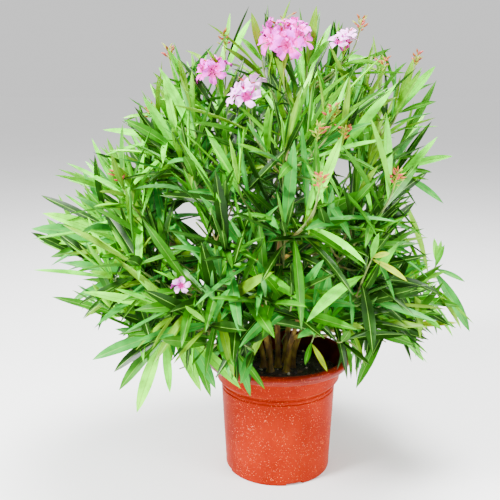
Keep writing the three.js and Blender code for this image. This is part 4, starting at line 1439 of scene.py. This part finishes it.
def mottle(tree, shader, colors, scale, detail=4.0, stretch=(1, 1, 1), places=None):
    """Base colour from noise through a ramp of colours."""
    mapping = tree.nodes.new("ShaderNodeMapping")
    fill_in(mapping, {"Scale": stretch})
    origin = tree.nodes.new("ShaderNodeTexCoord").outputs["Object"]
    tree.links.new(origin, mapping.inputs["Vector"])
    ramp = tree.nodes.new("ShaderNodeValToRGB")
    places = places or [0.3 + 0.4 * i / (len(colors) - 1) for i in range(len(colors))]
    while len(ramp.color_ramp.elements) < len(colors):
        ramp.color_ramp.elements.new(0.5)
    for element, at, color in zip(ramp.color_ramp.elements, places, colors):
        element.position = at
        element.color = (*color, 1)
    tree.links.new(noise_node(tree, mapping, scale, detail), ramp.inputs["Fac"])
    tree.links.new(ramp.outputs["Color"], shader.inputs["Base Color"])
    return mapping


def bumps(tree, shader, mapping, scale, distance, strength=0.6, detail=3.0):
    """A fine relief from noise."""
    bump = tree.nodes.new("ShaderNodeBump")
    fill_in(bump, {"Strength": strength, "Distance": distance})
    tree.links.new(noise_node(tree, mapping, scale, detail), bump.inputs["Height"])
    tree.links.new(bump.outputs["Normal"], shader.inputs["Normal"])


def shaded(color, factor):
    return tuple(min(1, channel * factor) for channel in color)


def plant_material(name, color, roughness, specular=0.3):
    """Living tissue: one colour, a little lighter and darker from place to place."""
    material, tree, shader = node_material(name, roughness, specular)
    tones = (shaded(color, DARK_TONE), color, shaded(color, LIGHT_TONE))
    mapping = mottle(tree, shader, tones, scale=38)
    bumps(tree, shader, mapping, scale=700, distance=0.0002)
    return material


def pot_material(name, colors, roughness, specular):
    """Moulded plastic, a little uneven in tone."""
    material, tree, shader = node_material(name, roughness, specular)
    mapping = mottle(tree, shader, colors, scale=16, detail=8.0)
    bumps(tree, shader, mapping, scale=900, distance=0.0002, strength=0.35)
    return material


def soil_material():
    material, tree, shader = node_material("potting_soil", roughness=0.62, coat=0.1)
    mapping = mottle(tree, shader, SOIL_COLORS, scale=160, detail=8.0)
    bumps(tree, shader, mapping, scale=900, distance=0.0015, strength=0.9, detail=6.0)
    return material


def bark_material(name, colors):
    material, tree, shader = node_material(name, roughness=0.72)
    mapping = mottle(tree, shader, colors, scale=90, detail=6.0, stretch=(1, 1, 0.35),
                     places=(0.3, 0.5, 0.68))
    bumps(tree, shader, mapping, scale=700, distance=0.0006, strength=0.8, detail=5.0)
    return material


def make_materials():
    made = {"soil": soil_material()}
    for key, (name, *colors) in BARK_COLORS.items():
        made[key] = bark_material(name, colors)
    for key, (name, roughness, specular, *colors) in POT_COLORS.items():
        made[key] = pot_material(name, colors, roughness, specular)
    for key, (name, color, *finish) in PLANT_COLORS.items():
        made[key] = plant_material(name, color, *finish)
    for kind, (upper, under) in LEAF_KINDS.items():
        made[kind] = plant_material(kind + "_leaf", upper, *LEAF_FINISH)
        made[kind + "_under"] = plant_material(kind + "_leaf_underside", under, *UNDERSIDE_FINISH)
    return made


# Crown

def make_crown(stems, masses, materials):
    """The masses of foliage by tier, and the shoots, blossom and buds of the whole crown."""
    guards = [limb_guard(limb) for limb in stems + [mass["bough"] for mass in masses]]
    crown = {"leaves": {tier: Shape() for tier in TIERS}, "shoots": Shape(), "petals": Shape(),
             "buds": Shape()}
    for index, mass in enumerate(masses):
        grow_mass(mass, index, masses, guards, crown)
    sides = [name for kind in KIND_NAMES for name in (kind, kind + "_under")]
    leaf_materials = made_of(materials, *sides, "midrib")
    for tier, shape in crown["leaves"].items():
        nodes = ["leaves_" + mass["name"] for mass in masses if mass["tier"] == tier]
        make_piece("foliage_" + tier, shape, leaf_materials, nodes, sharp=70)
    make_piece("green_shoots", crown["shoots"], made_of(materials, "green_bark", "shoot"),
               (), sharp=80)
    make_piece("blossom", crown["petals"], made_of(materials, "throat", "rose", "pink", "pale_pink"),
               (), sharp=75)
    make_piece("flower_buds", crown["buds"], made_of(materials, "coral", "pink_bud", "lime_stalk"),
               (), sharp=80)


# Studio

def make_studio():
    """A pale floor, an even white world, three soft lights and a faint one for the far floor."""
    mesh = bpy.data.meshes.new("floor")
    size = FLOOR_HALF_SIZE
    mesh.from_pydata([(-size, -size, 0), (size, -size, 0), (size, size, 0), (-size, size, 0)], [],
                     [(0, 1, 2, 3)])
    floor = placed("floor", mesh)
    material, tree, shader = node_material("pale_floor", roughness=0.9)
    mottle(tree, shader, FLOOR_TONES, scale=2)
    mesh.materials.append(material)
    world = bpy.data.worlds.new("studio")
    world.use_nodes = True
    fill_in(world.node_tree.nodes["Background"], {"Color": (1, 1, 1, 1), "Strength": WORLD_STRENGTH})
    bpy.context.scene.world = world
    for name, place, size, power in LIGHTS:
        add_light(name, Vector(place), size, power)
    add_far_light()


def add_light(name, place, size, power):
    light = bpy.data.lights.new(name, "AREA")
    light.size = size
    light.energy = power
    lamp = placed(name, light)
    lamp.location = place
    lamp.rotation_euler = (LIGHT_AIM - place).to_track_quat("-Z", "Y").to_euler()


def add_far_light():
    """A faint even light from above, which brings the far floor to the tone of the background."""
    light = bpy.data.lights.new("far", "SUN")
    light.energy = FAR_LIGHT
    light.angle = math.radians(FAR_LIGHT_SPREAD)
    placed("far", light)


def make_camera():
    camera = bpy.data.cameras.new("camera")
    camera.lens = CAMERA_LENS
    camera.sensor_width = 36
    eye = placed("camera", camera)
    eye.location = CAMERA_PLACE
    eye.rotation_euler = (math.radians(90 - CAMERA_PITCH), 0, 0)
    bpy.context.scene.camera = eye


make_camera()
make_studio()
materials = make_materials()
stems = make_stems()
masses = plan_masses(stems)
make_pot(materials)
make_soil(materials)
make_crumbs(materials)
make_limbs("stem", stems, STEM_SIDES, lambda share: 0, made_of(materials, "bark"))
make_limbs("bough", [mass["bough"] for mass in masses], BOUGH_SIDES, green_from(BOUGH_GREEN_FROM),
           made_of(materials, "bark", "green_bark"))
make_crown(stems, masses, materials)
